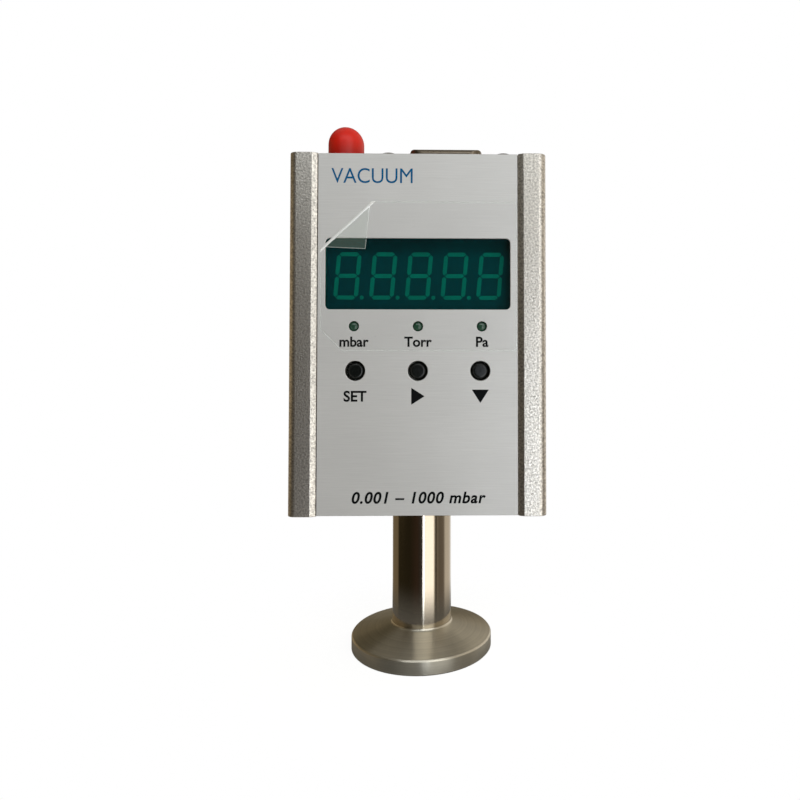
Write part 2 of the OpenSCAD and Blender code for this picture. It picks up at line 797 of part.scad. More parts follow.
// Coaxial jack and its cap

module at_coax(z) {
    translate([-coax_x, dsub_y, z]) children();
}

module coax_jack() color("goldenrod") {
    low = dsub_low_z;
    at_coax(0) difference() {
        union() {
            translate([0, 0, low]) cylinder(d = coax_rear_d, h = top_plate_z - low);
            translate([0, 0, top_plate_z - coax_nut_t]) rotate(30) hexagon(coax_af, coax_nut_t);
            translate([0, 0, top_plate_z]) cylinder(d = coax_d, h = top_plate_t + coax_up);
        }
        translate([0, 0, low - cut]) cylinder(d = coax_bore_d, h = top_z + coax_up - low + 2 * cut);
    }
}

module coax_insulator() color("white") {
    h = top_z + coax_up - coax_recess - dsub_low_z;
    at_coax(dsub_low_z) difference() {
        cylinder(d = coax_bore_d - 2 * fit_gap, h = h);
        translate([0, 0, -cut]) cylinder(d = coax_pin_d + 2 * fit_gap, h = h + 2 * cut);
    }
}

module coax_contact() color("gold") {
    low = connector_board_z - pin_out;
    h = top_z + coax_up - coax_recess - low;
    at_coax(low) difference() {
        cylinder(d = coax_pin_d, h = h);
        translate([0, 0, h / 2]) cylinder(d = coax_pin_d - 2 * contact_wall, h = h);
    }
}

module coax_washer() color("silver") {
    at_coax(top_z) difference() {
        cylinder(d = coax_washer_d, h = coax_washer_t);
        translate([0, 0, -cut]) cylinder(d = coax_d + 2 * coax_gap, h = coax_washer_t + 2 * cut);
    }
}

module coax_nut() color("goldenrod") {
    at_coax(top_z + coax_washer_t) rotate(30) difference() {
        hexagon(coax_af, coax_nut_t);
        translate([0, 0, -cut]) cylinder(d = coax_d + 2 * fit_gap, h = coax_nut_t + 2 * cut);
    }
}

module dust_cap() color("firebrick") {
    bore_r = coax_d / 2 + cap_gap;
    at_coax(0) rotate_extrude() difference() {
        union() {
            translate([0, cap_low_z]) square([cap_r, cap_bore_top - cap_low_z - cap_wall]);
            intersection() {
                translate([0, cap_bore_top - cap_wall]) circle(cap_r);
                translate([0, cap_low_z]) square([cap_r, cap_bore_top + cap_r]);
            }
        }
        translate([0, cap_low_z - cut]) square([bore_r, cap_bore_top - cap_low_z + cut]);
    }
}

// Sensor

module kf_flange() color("lightslategray") {
    bore_r = tube_r + fit_gap;
    r = flange_d / 2;
    slope = tan(flange_slope);
    weld_out = bore_r + weld_r;
    weld_z = rim_h + (r - weld_out) * slope;
    rotate_extrude($fn = 96) difference() {
        union() {
            polygon([[bore_r, 0], [r - flange_edge, 0], [r, flange_edge], [r, rim_h - flange_edge],
                [r - flange_edge, rim_h + flange_edge * slope], [weld_out, weld_z], [bore_r, weld_z]]);
            translate([bore_r, weld_z - flange_edge]) square([weld_r, weld_r + flange_edge]);
        }
        translate([weld_out, weld_z + weld_r]) circle(weld_r);
        translate([0, -cut]) square([centring_d / 2, centring_h + cut]);
    }
}

module sensor_tube() color("lightslategray") {
    translate([0, 0, centring_h]) difference() {
        cylinder(r = tube_r, h = tube_top - centring_h);
        translate([0, 0, -cut]) cylinder(r = tube_in_r, h = tube_top - centring_h + 2 * cut);
    }
}

module tube_collar() color("silver") {
    difference() {
        union() {
            translate([0, 0, bottom_plate_z]) cylinder(d = collar_d, h = collar_flange_h);
            translate([0, 0, bottom_plate_z]) cylinder(r = tube_r + collar_neck, h = collar_h);
        }
        translate([0, 0, bottom_plate_z - cut]) cylinder(r = tube_r + fit_gap, h = collar_h + 2 * cut);
        at_collar_screws(bottom_plate_z - cut) cylinder(d = screw_d + 2 * screw_gap, h = collar_h + 2 * cut);
    }
}

module collar_screws() color("dimgray") at_collar_screws(base_z) mirror([0, 0, 1]) csk_screw();

module at_header_pins(z) {
    for (a = [45 : 90 : 315])
        rotate(a) translate([header_pcd / 2, 0, z]) children();
}

module header_ring() color("darkgray") {
    translate([0, 0, header_z]) difference() {
        cylinder(r = tube_in_r - fit_gap, h = header_h);
        translate([0, 0, -cut]) cylinder(d = header_glass_d + 2 * fit_gap, h = header_h + 2 * cut);
    }
}

module header_glass() color("lightblue") {
    difference() {
        translate([0, 0, header_z]) cylinder(d = header_glass_d, h = header_h);
        at_header_pins(header_z - cut) cylinder(d = header_pin_d + 2 * fit_gap, h = header_h + 2 * cut);
    }
}

module header_pins() color("gold") {
    low = header_z - header_pin_drop;
    at_header_pins(low) cylinder(d = header_pin_d, h = sensor_board_z + sensor_board_t + pin_out - low);
}

// Two rods, welded to the ends of two pins, with arms that reach to the axis
filament_top = header_z - filament_drop;
filament_low = filament_top - filament_l;

module filament_rod(a, arm_z) {
    low = arm_z - header_pin_d / 2;
    rotate(a) {
        translate([header_pcd / 2, 0, low]) cylinder(d = header_pin_d, h = header_z - header_pin_drop - low);
        translate([0, 0, arm_z]) rotate([0, 90, 0]) cylinder(d = header_pin_d, h = header_pcd / 2);
    }
}

module filament_supports() color("darkgray") {
    filament_rod(45, filament_top + header_pin_d / 2);
    filament_rod(225, filament_low - header_pin_d / 2);
}

// The heated wire: one tube swept along a helix, closed with a flat face at each end
module filament() color("orange") {
    sides = 6;
    per_turn = 12;
    rings = filament_turns * per_turn;
    wire_r = filament_wire / 2;
    coil_r = filament_d / 2 - wire_r;
    rise = filament_l - filament_wire;
    points = [for (i = [0 : rings], k = [0 : sides - 1])
        let (a = i * 360 / per_turn, b = k * 360 / sides, rr = coil_r + wire_r * cos(b))
        [rr * cos(a), rr * sin(a), filament_low + wire_r + rise * i / rings + wire_r * sin(b)]];
    skin = [for (i = [0 : rings - 1], k = [0 : sides - 1])
        let (n = (k + 1) % sides, p = i * sides, q = p + sides) [p + k, p + n, q + n, q + k]];
    ends = [[for (k = [sides - 1 : -1 : 0]) k], [for (k = [0 : sides - 1]) rings * sides + k]];
    polyhedron(points, concat(skin, ends), convexity = 10);
}

module sensor_board() color("seagreen") {
    difference() {
        translate([0, 0, sensor_board_z]) cylinder(r = sensor_board_r, h = sensor_board_t);
        at_header_pins(sensor_board_z - cut)
            cylinder(d = header_pin_d + 2 * pin_gap, h = sensor_board_t + 2 * cut);
        translate([0, sensor_link_y, sensor_board_z]) pin_row(sensor_link_pins, pin_pitch)
            cube([pin_w + 2 * pin_gap, pin_w + 2 * pin_gap, 3 * sensor_board_t], center = true);
    }
}

// Bent pins that stand in a level board at z0 and run back into the main board at z1
module bent_pin(y, z0, z1) {
    low = z0 - pin_out;
    translate([-pin_w / 2, y - pin_w / 2, low]) cube([pin_w, pin_w, z1 + pin_w / 2 - low]);
    translate([-pin_w / 2, y - pin_w / 2, z1 - pin_w / 2])
        cube([pin_w, main_back_y + pin_out - y + pin_w / 2, pin_w]);
}

module sensor_link() color("gold") {
    pin_row(sensor_link_pins, pin_pitch) bent_pin(sensor_link_y, sensor_board_z, sensor_link_z);
}

// Display board: digits, lamps and keys

// A board that stands in the grooves on the bottom plate, notched round the tube
module standing_board(top) {
    polygon([[-board_half_w, bottom_plate_z], [-notch_half_w, bottom_plate_z], [-notch_half_w, notch_top],
        [notch_half_w, notch_top], [notch_half_w, bottom_plate_z], [board_half_w, bottom_plate_z],
        [board_half_w, top], [-board_half_w, top]]);
}

module pin_holes(count, pitch, z) {
    w = pin_w + 2 * pin_gap;
    translate([0, z]) pin_row(count, pitch) square([w, w], center = true);
}

module display_board() color("seagreen") {
    upright(display_board_y, board_t) difference() {
        standing_board(display_board_top);
        for (i = row_of_three, s = [-1, 1])
            translate([i * lamp_pitch + s * lead_pitch / 2, lamp_z])
                square(lead_w + 2 * pin_gap, center = true);
        pin_holes(stack_pins, pin_pitch, window_z);
    }
}

module display_module() color("dimgray") {
    upright(module_y, module_t) translate([0, window_z]) square([module_w, module_h], center = true);
}

// One bar of a digit, with pointed ends, lying along X or standing along Z, slanted with its digit
function slanted(p) = [p.x + p.y * tan(digit_slant), p.y];
function bar_points(c, l, standing) = let (h = segment_w / 2, e = l / 2 - segment_gap)
    [for (p = [[-e, 0], [h - e, h], [e - h, h], [e, 0], [e - h, -h], [h - e, -h]])
        slanted(c + (standing ? [-p.y, p.x] : p))];

module digit() {
    bar_x = digit_w - segment_w;
    bar_z = (digit_h - segment_w) / 2;
    for (k = [-1, 0, 1])
        polygon(bar_points([0, k * bar_z], bar_x, false));
    for (sx = [-1, 1], sz = [-1, 1])
        polygon(bar_points([sx * bar_x / 2, sz * bar_z / 2], bar_z, true));
}

// The point after a digit, at the height of its lowest bar
module digit_point() {
    translate(slanted([digit_w / 2 + segment_w, (segment_w - digit_h) / 2])) circle(d = segment_w);
}

module display_segments() color("teal") {
    upright(module_y - segment_t, segment_t) translate([0, window_z]) {
        pin_row(digits, digit_pitch) digit();
        translate([-digit_pitch / 2, 0]) pin_row(digits - 1, digit_pitch) digit_point();
    }
}

module lamp(i) color("mediumseagreen") {
    x = i * lamp_pitch;
    r = lamp_d / 2;
    bar_y(x, lamp_z, lamp_base_y - lamp_flange_t, lamp_base_y, lamp_flange_d);
    bar_y(x, lamp_z, lamp_tip_y + r, lamp_base_y, lamp_d);
    translate([x, lamp_tip_y + r, lamp_z]) sphere(r);
    for (s = [-1, 1])
        translate([x + s * lead_pitch / 2 - lead_w / 2, lamp_base_y - lamp_flange_t / 2, lamp_z - lead_w / 2])
            cube([lead_w, display_back_y + pin_out - lamp_base_y + lamp_flange_t / 2, lead_w]);
}

// Key switch: moulded body with a round pocket, steel cover, snap dome and plunger
pocket_depth = plunger_collar_t + dome_room;
plunger_collar_d = plunger_d + 2 * plunger_step;
switch_top_y = display_board_y - switch_body_h;

module switch_body(i) color("black") {
    difference() {
        upright(switch_top_y, switch_body_h)
            translate([i * key_pitch, key_z]) rounded_rect(switch_w, switch_w, switch_r);
        bar_y(i * key_pitch, key_z, switch_top_y - cut, switch_top_y + pocket_depth,
            plunger_collar_d + 4 * plunger_gap);
    }
}

module switch_cover(i) color("silver") {
    upright(switch_top_y - switch_cover_t, switch_cover_t) translate([i * key_pitch, key_z]) difference() {
        rounded_rect(switch_w, switch_w, switch_r);
        circle(d = plunger_d + 2 * plunger_gap);
    }
}

module switch_domes() color("gold") {
    foot_r = plunger_collar_d / 2 - plunger_gap;
    crown_r = foot_r - 4 * dome_h;
    for (i = row_of_three)
        translate([i * key_pitch, switch_top_y + pocket_depth, key_z]) rotate([90, 0, 0]) rotate_extrude()
            polygon([[foot_r - 2 * dome_t, 0], [foot_r, 0], [crown_r + dome_t, dome_h], [0, dome_h],
                [0, dome_h - dome_t], [crown_r, dome_h - dome_t]]);
}

module button(i) color("black") {
    collar_y = switch_top_y + plunger_gap / 2;
    bar_y(i * key_pitch, key_z, tip_y, collar_y + plunger_collar_t, plunger_d);
    bar_y(i * key_pitch, key_z, collar_y, collar_y + plunger_collar_t, plunger_collar_d);
}

// Main board and what is soldered to it

main_top = top_plate_z - board_top_gap;

module main_board() color("seagreen") {
    upright(main_y, board_t) difference() {
        standing_board(main_top);
        pin_holes(stack_pins, pin_pitch, window_z);
        pin_holes(sensor_link_pins, pin_pitch, sensor_link_z);
        translate([dsub_x, 0]) pin_holes(top_pins, pin_pitch, top_link_z);
    }
}

module pin_block(y0, y1) {
    upright(y0, y1 - y0) difference() {
        translate([0, window_z]) square([stack_pins * pin_pitch, pin_pitch], center = true);
        pin_holes(stack_pins, pin_pitch, window_z);
    }
}

module board_header() color("black") pin_block(main_y - strip_t, main_y);

module board_socket() color("black") pin_block(display_back_y, main_y - strip_t);

module board_pins() color("gold") {
    y0 = display_board_y - pin_out / 2 + board_t / 2;
    translate([0, y0, window_z]) pin_row(stack_pins, pin_pitch)
        translate([-pin_w / 2, 0, -pin_w / 2]) cube([pin_w, main_back_y + pin_out - y0, pin_w]);
}

// A packaged chip on the front of the main board: a block with bent leads along two or four sides
module chip(x, w, h, t, leads, pitch, sides = [0, 180]) {
    step = chip_lead / 2;
    lead = pitch / 2;
    lead_y = -t / 2 - chip_lead_t;
    translate([x, main_y, chip_row_z]) {
        translate([-w / 2, -t, -h / 2]) cube([w, t - chip_lead_t / 2, h]);
        for (side = sides) rotate([0, side, 0]) for (i = [0 : leads - 1])
            translate([(side % 180 == 0 ? w : h) / 2 - chip_lead_t, 0, (i - leads / 2) * pitch + lead / 2]) {
                translate([0, lead_y, 0]) cube([step + chip_lead_t, chip_lead_t, lead]);
                translate([step, lead_y, 0]) cube([chip_lead_t, -lead_y, lead]);
                translate([step, -chip_lead_t, 0]) cube([chip_lead, chip_lead_t, lead]);
            }
    }
}

chip_row_z = (sensor_link_z + window_z) / 2;
chip_x = board_half_w - chip_side;

module microcontroller() color("black") chip(0, mcu_w, mcu_w, mcu_t, 8, mcu_pitch, [0, 90, 180, 270]);

module bridge_amplifier() color("black") chip(-chip_x, amp_w, amp_l, amp_t, 4, amp_pitch);

module regulator() color("black") chip(chip_x, regulator_w, regulator_l, regulator_t, 3, regulator_pitch);

module capacitors() color("silver") {
    x = stack_pins * pin_pitch / 2 + can_gap + can_d / 2;
    for (s = [-1, 1]) {
        upright(main_y - can_foot_t, can_foot_t)
            translate([s * x, window_z]) square(can_d + 2 * can_foot_lap, center = true);
        bar_y(s * x, window_z, main_y - can_h, main_y - can_foot_t / 2, can_d);
    }
}

// Level board under the two connectors

module connector_board() color("seagreen") {
    board_w = 2 * (in_x - connector_board_gap);
    y0 = boss_r - boss_y + connector_board_gap;
    y1 = main_y - connector_board_gap;
    difference() {
        translate([-board_w / 2, y0, connector_board_z]) cube([board_w, y1 - y0, board_t]);
        at_contacts(connector_board_z - cut) cylinder(d = tail_d + 2 * pin_gap, h = board_t + 2 * cut);
        at_coax(connector_board_z - cut) cylinder(d = coax_pin_d + 2 * pin_gap, h = board_t + 2 * cut);
        translate([dsub_x, top_link_y, connector_board_z]) pin_row(top_pins, pin_pitch)
            cube([pin_w + 2 * pin_gap, pin_w + 2 * pin_gap, 3 * board_t], center = true);
    }
}

module connector_link() color("gold") {
    translate([dsub_x, 0, 0]) pin_row(top_pins, pin_pitch)
        bent_pin(top_link_y, connector_board_z, top_link_z);
}

body_shell();
front_plate();
display_window();
protective_film();
top_plate();
bottom_plate();
top_plate_screws();
bottom_plate_screws();
dsub_shell();
dsub_rear_shell();
dsub_insulator();
dsub_contacts();
dsub_jackscrews();
jackscrew_nuts();
coax_jack();
coax_insulator();
coax_contact();
coax_washer();
coax_nut();
dust_cap();
kf_flange();
sensor_tube();
tube_collar();
collar_screws();
header_ring();
header_glass();
header_pins();
filament_supports();
filament();
sensor_board();
sensor_link();
display_board();
display_module();
display_segments();
lamp(-1);  // led_left
lamp(0);  // led_middle
lamp(1);  // led_right
switch_body(-1);  // switch_body_left
switch_body(0);  // switch_body_middle
switch_body(1);  // switch_body_right
switch_cover(-1);  // switch_cover_left
switch_cover(0);  // switch_cover_middle
switch_cover(1);  // switch_cover_right
switch_domes();
button(-1);  // button_left
button(0);  // button_middle
button(1);  // button_right
main_board();
board_header();
board_socket();
board_pins();
microcontroller();
bridge_amplifier();
regulator();
capacitors();
connector_board();
connector_link();
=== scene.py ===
"""Looks of a compact thermal-conductivity vacuum gauge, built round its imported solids.

Metres, in the frame of the solids: the origin is the centre of the flange's sealing face, +Z runs
up the tube and the display faces -Y.
"""

import json
import math

import bpy
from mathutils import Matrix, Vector

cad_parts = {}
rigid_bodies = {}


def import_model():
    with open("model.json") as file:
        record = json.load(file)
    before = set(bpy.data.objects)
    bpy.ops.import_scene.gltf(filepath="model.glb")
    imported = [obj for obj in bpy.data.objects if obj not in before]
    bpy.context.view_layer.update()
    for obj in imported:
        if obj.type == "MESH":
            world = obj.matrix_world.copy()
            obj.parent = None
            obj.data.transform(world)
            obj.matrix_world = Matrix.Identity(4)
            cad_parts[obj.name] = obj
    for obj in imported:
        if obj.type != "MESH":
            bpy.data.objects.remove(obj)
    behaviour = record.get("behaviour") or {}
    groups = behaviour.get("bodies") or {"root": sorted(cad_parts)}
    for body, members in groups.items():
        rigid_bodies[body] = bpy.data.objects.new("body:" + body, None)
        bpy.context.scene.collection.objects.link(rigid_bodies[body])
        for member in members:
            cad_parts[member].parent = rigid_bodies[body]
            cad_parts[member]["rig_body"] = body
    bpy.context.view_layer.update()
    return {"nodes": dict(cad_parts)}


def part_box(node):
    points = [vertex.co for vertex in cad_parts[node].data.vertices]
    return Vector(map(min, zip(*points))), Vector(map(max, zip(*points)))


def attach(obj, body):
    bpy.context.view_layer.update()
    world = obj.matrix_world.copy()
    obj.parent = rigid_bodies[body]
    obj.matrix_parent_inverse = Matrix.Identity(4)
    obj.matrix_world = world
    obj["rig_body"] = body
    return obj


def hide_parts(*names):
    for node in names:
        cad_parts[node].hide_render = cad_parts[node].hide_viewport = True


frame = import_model()
NODES = frame["nodes"]
MM = 0.001

bl_info = {
    "name": "Vacuum gauge looks",
    "version": (1, 0, 0),
    "blender": (4, 5, 0),
    "location": "View3D > Sidebar > Gauge",
    "description": "Finishes, legends, film and studio for a small vacuum gauge",
    "category": "Object",
}

# Places that the pieces share, read from the solids
FACE_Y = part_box("front_plate")[0].y
FILM_LOW, FILM_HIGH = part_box("protective_film")
LAMP_Z = sum(corner.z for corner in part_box("led_middle")) / 2
KEY_Z = sum(corner.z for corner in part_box("button_middle")) / 2
LAMP_X = sum(corner.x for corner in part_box("led_right")) / 2
KEY_X = sum(corner.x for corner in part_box("button_right")) / 2


def linear(code):
    """The linear colour of an sRGB hex code."""
    parts = [int(code[i:i + 2], 16) / 255 for i in (1, 3, 5)]
    return tuple(c / 12.92 if c <= 0.04045 else ((c + 0.055) / 1.055) ** 2.4 for c in parts)


def per_mm(size):
    """The texture scale at which one feature is that many millimetres wide."""
    return 1 / (size * MM)


# Settings


class GaugeColours(bpy.types.PropertyGroup):
    """Colours of the visible finishes"""

    housing: bpy.props.FloatVectorProperty(
        name="Housing", description="Bead-blasted, anodised aluminium of the housing",
        subtype="COLOR", min=0, max=1, default=linear("#d4d0c8"))
    plate: bpy.props.FloatVectorProperty(
        name="Faceplate", description="Brushed, anodised aluminium of the faceplate",
        subtype="COLOR", min=0, max=1, default=linear("#d6d6d4"))
    pane: bpy.props.FloatVectorProperty(
        name="Filter pane", description="What one face of the filter pane lets through",
        subtype="COLOR", min=0, max=1, default=linear("#5ee8e4"))
    segments: bpy.props.FloatVectorProperty(
        name="Segments", description="Unlit segments of the digits",
        subtype="COLOR", min=0, max=1, default=linear("#6fab9a"))
    lamps: bpy.props.FloatVectorProperty(
        name="Lamps", description="Tinted epoxy of the unlit lamps",
        subtype="COLOR", min=0, max=1, default=linear("#294f3b"))
    cap: bpy.props.FloatVectorProperty(
        name="Cap", description="Soft PVC of the cap on the coaxial jack",
        subtype="COLOR", min=0, max=1, default=linear("#e4220f"))
    steel: bpy.props.FloatVectorProperty(
        name="Stainless steel", description="Tube and flange",
        subtype="COLOR", min=0, max=1, default=linear("#c9bfae"))
    black_ink: bpy.props.FloatVectorProperty(
        name="Black ink", description="Legends of the lamps and the keys",
        subtype="COLOR", min=0, max=1, default=linear("#080b0d"))
    blue_ink: bpy.props.FloatVectorProperty(
        name="Blue ink", description="Heading of the faceplate",
        subtype="COLOR", min=0, max=1, default=linear("#0a5c8c"))


class GaugeLegends(bpy.types.PropertyGroup):
    """Words and sizes of the print on the faceplate"""

    heading: bpy.props.StringProperty(
        name="Heading", description="Word at the top of the faceplate", default="VACUUM")
    units: bpy.props.StringProperty(
        name="Units", description="Unit under each lamp, from left to right", default="mbar Torr Pa")
    left_key: bpy.props.StringProperty(
        name="Left key", description="Word under the left key", default="SET")
    span: bpy.props.StringProperty(
        name="Range", description="Measuring range at the foot of the faceplate",
        default="0.001 – 1000 mbar")
    ink: bpy.props.FloatProperty(
        name="Ink thickness", description="Thickness of the print", unit="LENGTH", default=0.012 * MM)


class GaugeFilm(bpy.types.PropertyGroup):
    """Cut and fold of the protective film"""

    thickness: bpy.props.FloatProperty(
        name="Thickness", description="Thickness of the film", unit="LENGTH", default=0.12 * MM)
    lift: bpy.props.FloatProperty(
        name="Lift", description="Gap between the faceplate and the film", unit="LENGTH", default=0.02 * MM)
    fold_x: bpy.props.FloatProperty(
        name="Fold along the top", description="Length of the folded corner along the upper edge",
        unit="LENGTH", default=10.7 * MM)
    fold_z: bpy.props.FloatProperty(
        name="Fold along the side", description="Length of the folded corner along the left edge",
        unit="LENGTH", default=9.97 * MM)
    radius: bpy.props.FloatProperty(
        name="Fold radius", description="Middle radius of the rolled fold", unit="LENGTH", default=0.4 * MM)
    turn: bpy.props.FloatProperty(
        name="Turn", description="Angle that the corner is folded through",
        unit="ROTATION", default=math.radians(171))
    # The crease strip takes the fold's white: partly stress whitening, partly a painted highlight
    crease: bpy.props.FloatProperty(
        name="Crease", description="Width of the whitened strip of the flap beside the fold",
        unit="LENGTH", default=0.2 * MM)
    bruise: bpy.props.FloatProperty(
        name="Bruised edge", description="Width of the whitened border along the cut edges",
        unit="LENGTH", default=0.16 * MM)
    clip: bpy.props.FloatProperty(
        name="Clipped corner", description="Size of the missing lower left corner",
        unit="LENGTH", default=4.2 * MM)


class GaugeStage(bpy.types.PropertyGroup):
    """Camera, floor and light"""

    lens: bpy.props.FloatProperty(
        name="Lens", description="Focal length in millimetres on a 36 mm frame", default=28.41)
    camera_place: bpy.props.FloatVectorProperty(
        name="Camera", description="Place of the camera", subtype="TRANSLATION", unit="LENGTH",
        default=(0.00778, -0.13886, 0.05943))
    camera_turn: bpy.props.FloatVectorProperty(
        name="Camera turn", description="Rotation of the camera", subtype="EULER", unit="ROTATION",
        default=(math.radians(91.449), 0, math.radians(-1.211)))
    camera_shift: bpy.props.FloatVectorProperty(
        name="Camera shift", description="Shift that frames the object", size=2, default=(-0.0888, -0.0579))
    floor: bpy.props.FloatVectorProperty(
        name="Floor", description="Colour of the floor", subtype="COLOR", min=0, max=1,
        default=linear("#6d6d6b"))
    window_power: bpy.props.FloatProperty(
        name="Window lamp", description="Power of the tall soft lamp at the right",
        unit="POWER", default=0.7)
    edge_power: bpy.props.FloatProperty(
        name="Window edge", description="Power of the narrow lamp that the right rail mirrors",
        unit="POWER", default=0.24)
    front_power: bpy.props.FloatProperty(
        name="Front lamp", description="Power of the wide soft lamp high in front",
        unit="POWER", default=1.5)


# Shared steps


def deselect():
    """Nothing selected, in object mode, so that an operator acts on the next piece alone."""
    if bpy.context.object and bpy.context.object.mode != "OBJECT":
        bpy.ops.object.mode_set(mode="OBJECT")
    bpy.ops.object.select_all(action="DESELECT")


def pick(piece):
    """That piece alone is selected and active."""
    deselect()
    piece.select_set(True)
    bpy.context.view_layer.objects.active = piece


def settle(piece):
    """Puts the piece's place into its mesh."""
    pick(piece)
    bpy.ops.object.transform_apply(location=True, rotation=True, scale=True)


def join_housing(piece, material):
    """A finished piece that stays with the housing."""
    piece.data.materials.clear()
    piece.data.materials.append(material)
    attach(piece, "housing")


def eased(node, width, segments=2, angle=30):
    """A copy of a solid whose sharp edges are broken by that many millimetres; it stands for the solid."""
    source = NODES[node]
    piece = bpy.data.objects.new(node + "_eased", source.data.copy())
    bpy.context.scene.collection.objects.link(piece)
    pick(piece)
    bpy.ops.mesh.customdata_custom_splitnormals_clear()
    bpy.ops.object.mode_set(mode="EDIT")
    bpy.ops.mesh.select_all(action="SELECT")
    bpy.ops.mesh.remove_doubles(threshold=0.0005 * MM)
    bpy.ops.mesh.dissolve_limited(angle_limit=math.radians(0.5))
    bpy.ops.object.mode_set(mode="OBJECT")
    bevel = piece.modifiers.new("edge break", "BEVEL")
    bevel.width = width * MM
    bevel.segments = segments
    bevel.limit_method = "ANGLE"
    bevel.angle_limit = math.radians(angle)
    bevel.use_clamp_overlap = False
    bevel.harden_normals = False
    bpy.ops.object.modifier_apply(modifier=bevel.name)
    bpy.ops.object.shade_smooth_by_angle(angle=math.radians(60))
    flats = piece.modifiers.new("flat faces stay flat", "WEIGHTED_NORMAL")
    flats.keep_sharp = True
    flats.weight = 100
    bpy.ops.object.modifier_apply(modifier=flats.name)
    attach(piece, source["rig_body"])
    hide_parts(node)
    return piece


def coat(material, *nodes):
    """Gives solids, or the pieces that stand for them, that material."""
    for node in nodes:
        piece = bpy.data.objects.get(node + "_eased") or NODES[node]
        piece.data.materials.clear()
        piece.data.materials.append(material)


# Materials


def add(tree, kind, inputs=None, **settings):
    """Adds a node, with its settings, and its inputs as values or links."""
    node = tree.nodes.new(kind)
    for name, value in settings.items():
        setattr(node, name, value)
    for name, value in (inputs or {}).items():
        if isinstance(value, bpy.types.NodeSocket):
            tree.links.new(value, node.inputs[name])
        elif hasattr(value, "__len__") and len(value) == 3 and len(node.inputs[name].default_value) == 4:
            node.inputs[name].default_value = (*value, 1)
        else:
            node.inputs[name].default_value = value
    return node


def blank(name):
    """A new material, its empty node tree, and the place of each point in its piece."""
    material = bpy.data.materials.new(name)
    material.use_nodes = True
    tree = material.node_tree
    tree.nodes.clear()
    return material, tree, add(tree, "ShaderNodeTexCoord").outputs["Object"]


def varied(tree, colour, pattern, dark, light, span=(0.0, 1.0)):
    """A colour times a pattern, whose values over that span run from dark to light."""
    shade = add(tree, "ShaderNodeMapRange", {
        "Value": pattern, "From Min": span[0], "From Max": span[1], "To Min": dark, "To Max": light})
    tint = add(tree, "ShaderNodeVectorMath", {0: colour, "Scale": shade.outputs[0]}, operation="SCALE")
    return tint.outputs["Vector"]


def dressed(material, shader):
    """The material, with that shader as its surface."""
    add(material.node_tree, "ShaderNodeOutputMaterial", {"Surface": shader})
    return material


# Where nearly all values of a noise lie
MOST = (0.3, 0.7)


def blasted_aluminium(colour):
    """Bead-blasted, clear-anodised aluminium: a dense, sparkling grit of tiny dents."""
    material, tree, place = blank("bead-blasted anodised aluminium")
    # The real dents are about 0.1 mm wide; they are drawn at 0.4 mm, so that they show
    grit = add(tree, "ShaderNodeTexNoise", {
        "Vector": place, "Scale": per_mm(0.4), "Detail": 2.0, "Roughness": 0.6})
    cloud = add(tree, "ShaderNodeTexNoise", {"Vector": place, "Scale": per_mm(9), "Detail": 1.0})
    tint = varied(tree, colour, grit.outputs["Fac"], 0.55, 1.35, MOST)
    tint = varied(tree, tint, cloud.outputs["Fac"], 0.96, 1.03, MOST)
    gloss = add(tree, "ShaderNodeMapRange", {
        "Value": grit.outputs["Fac"], "From Min": 0.3, "From Max": 0.7, "To Min": 0.4, "To Max": 0.3})
    dents = add(tree, "ShaderNodeBump", {
        "Height": grit.outputs["Fac"], "Strength": 0.65, "Distance": 0.06 * MM})
    surface = add(tree, "ShaderNodeBsdfPrincipled", {
        "Base Color": tint, "Metallic": 1.0, "Roughness": gloss.outputs[0],
        "Normal": dents.outputs["Normal"]})
    return dressed(material, surface.outputs["BSDF"])


def brushed_aluminium(colour):
    """Brushed, clear-anodised aluminium sheet: fine level scratches, and a sheen softened by its oxide."""
    material, tree, place = blank("brushed anodised aluminium")
    # Scratches are a few hundredths of a millimetre wide; they are drawn at 0.16 mm, so that they show
    long_way = add(tree, "ShaderNodeMapping", {"Vector": place, "Scale": (0.02, 1, 1)})
    scratch = add(tree, "ShaderNodeTexNoise", {
        "Vector": long_way.outputs[0], "Scale": per_mm(0.16), "Detail": 3.0, "Roughness": 0.65})
    cloud = add(tree, "ShaderNodeTexNoise", {"Vector": place, "Scale": per_mm(14), "Detail": 1.0})
    tint = varied(tree, colour, scratch.outputs["Fac"], 0.93, 1.03, (0.25, 0.75))
    tint = varied(tree, tint, cloud.outputs["Fac"], 0.97, 1.02, MOST)
    gloss = add(tree, "ShaderNodeMapRange", {
        "Value": scratch.outputs["Fac"], "From Min": 0.25, "From Max": 0.75, "To Min": 0.5, "To Max": 0.42})
    relief = add(tree, "ShaderNodeBump", {
        "Height": scratch.outputs["Fac"], "Strength": 0.12, "Distance": 0.02 * MM})
    grain = add(tree, "ShaderNodeTangent", direction_type="RADIAL", axis="Z")
    surface = add(tree, "ShaderNodeBsdfPrincipled", {
        "Base Color": tint, "Metallic": 0.3, "Roughness": gloss.outputs[0],
        "Anisotropic": 0.6, "Anisotropic Rotation": 0.25, "Tangent": grain.outputs[0],
        "Normal": relief.outputs["Normal"]})
    return dressed(material, surface.outputs["BSDF"])


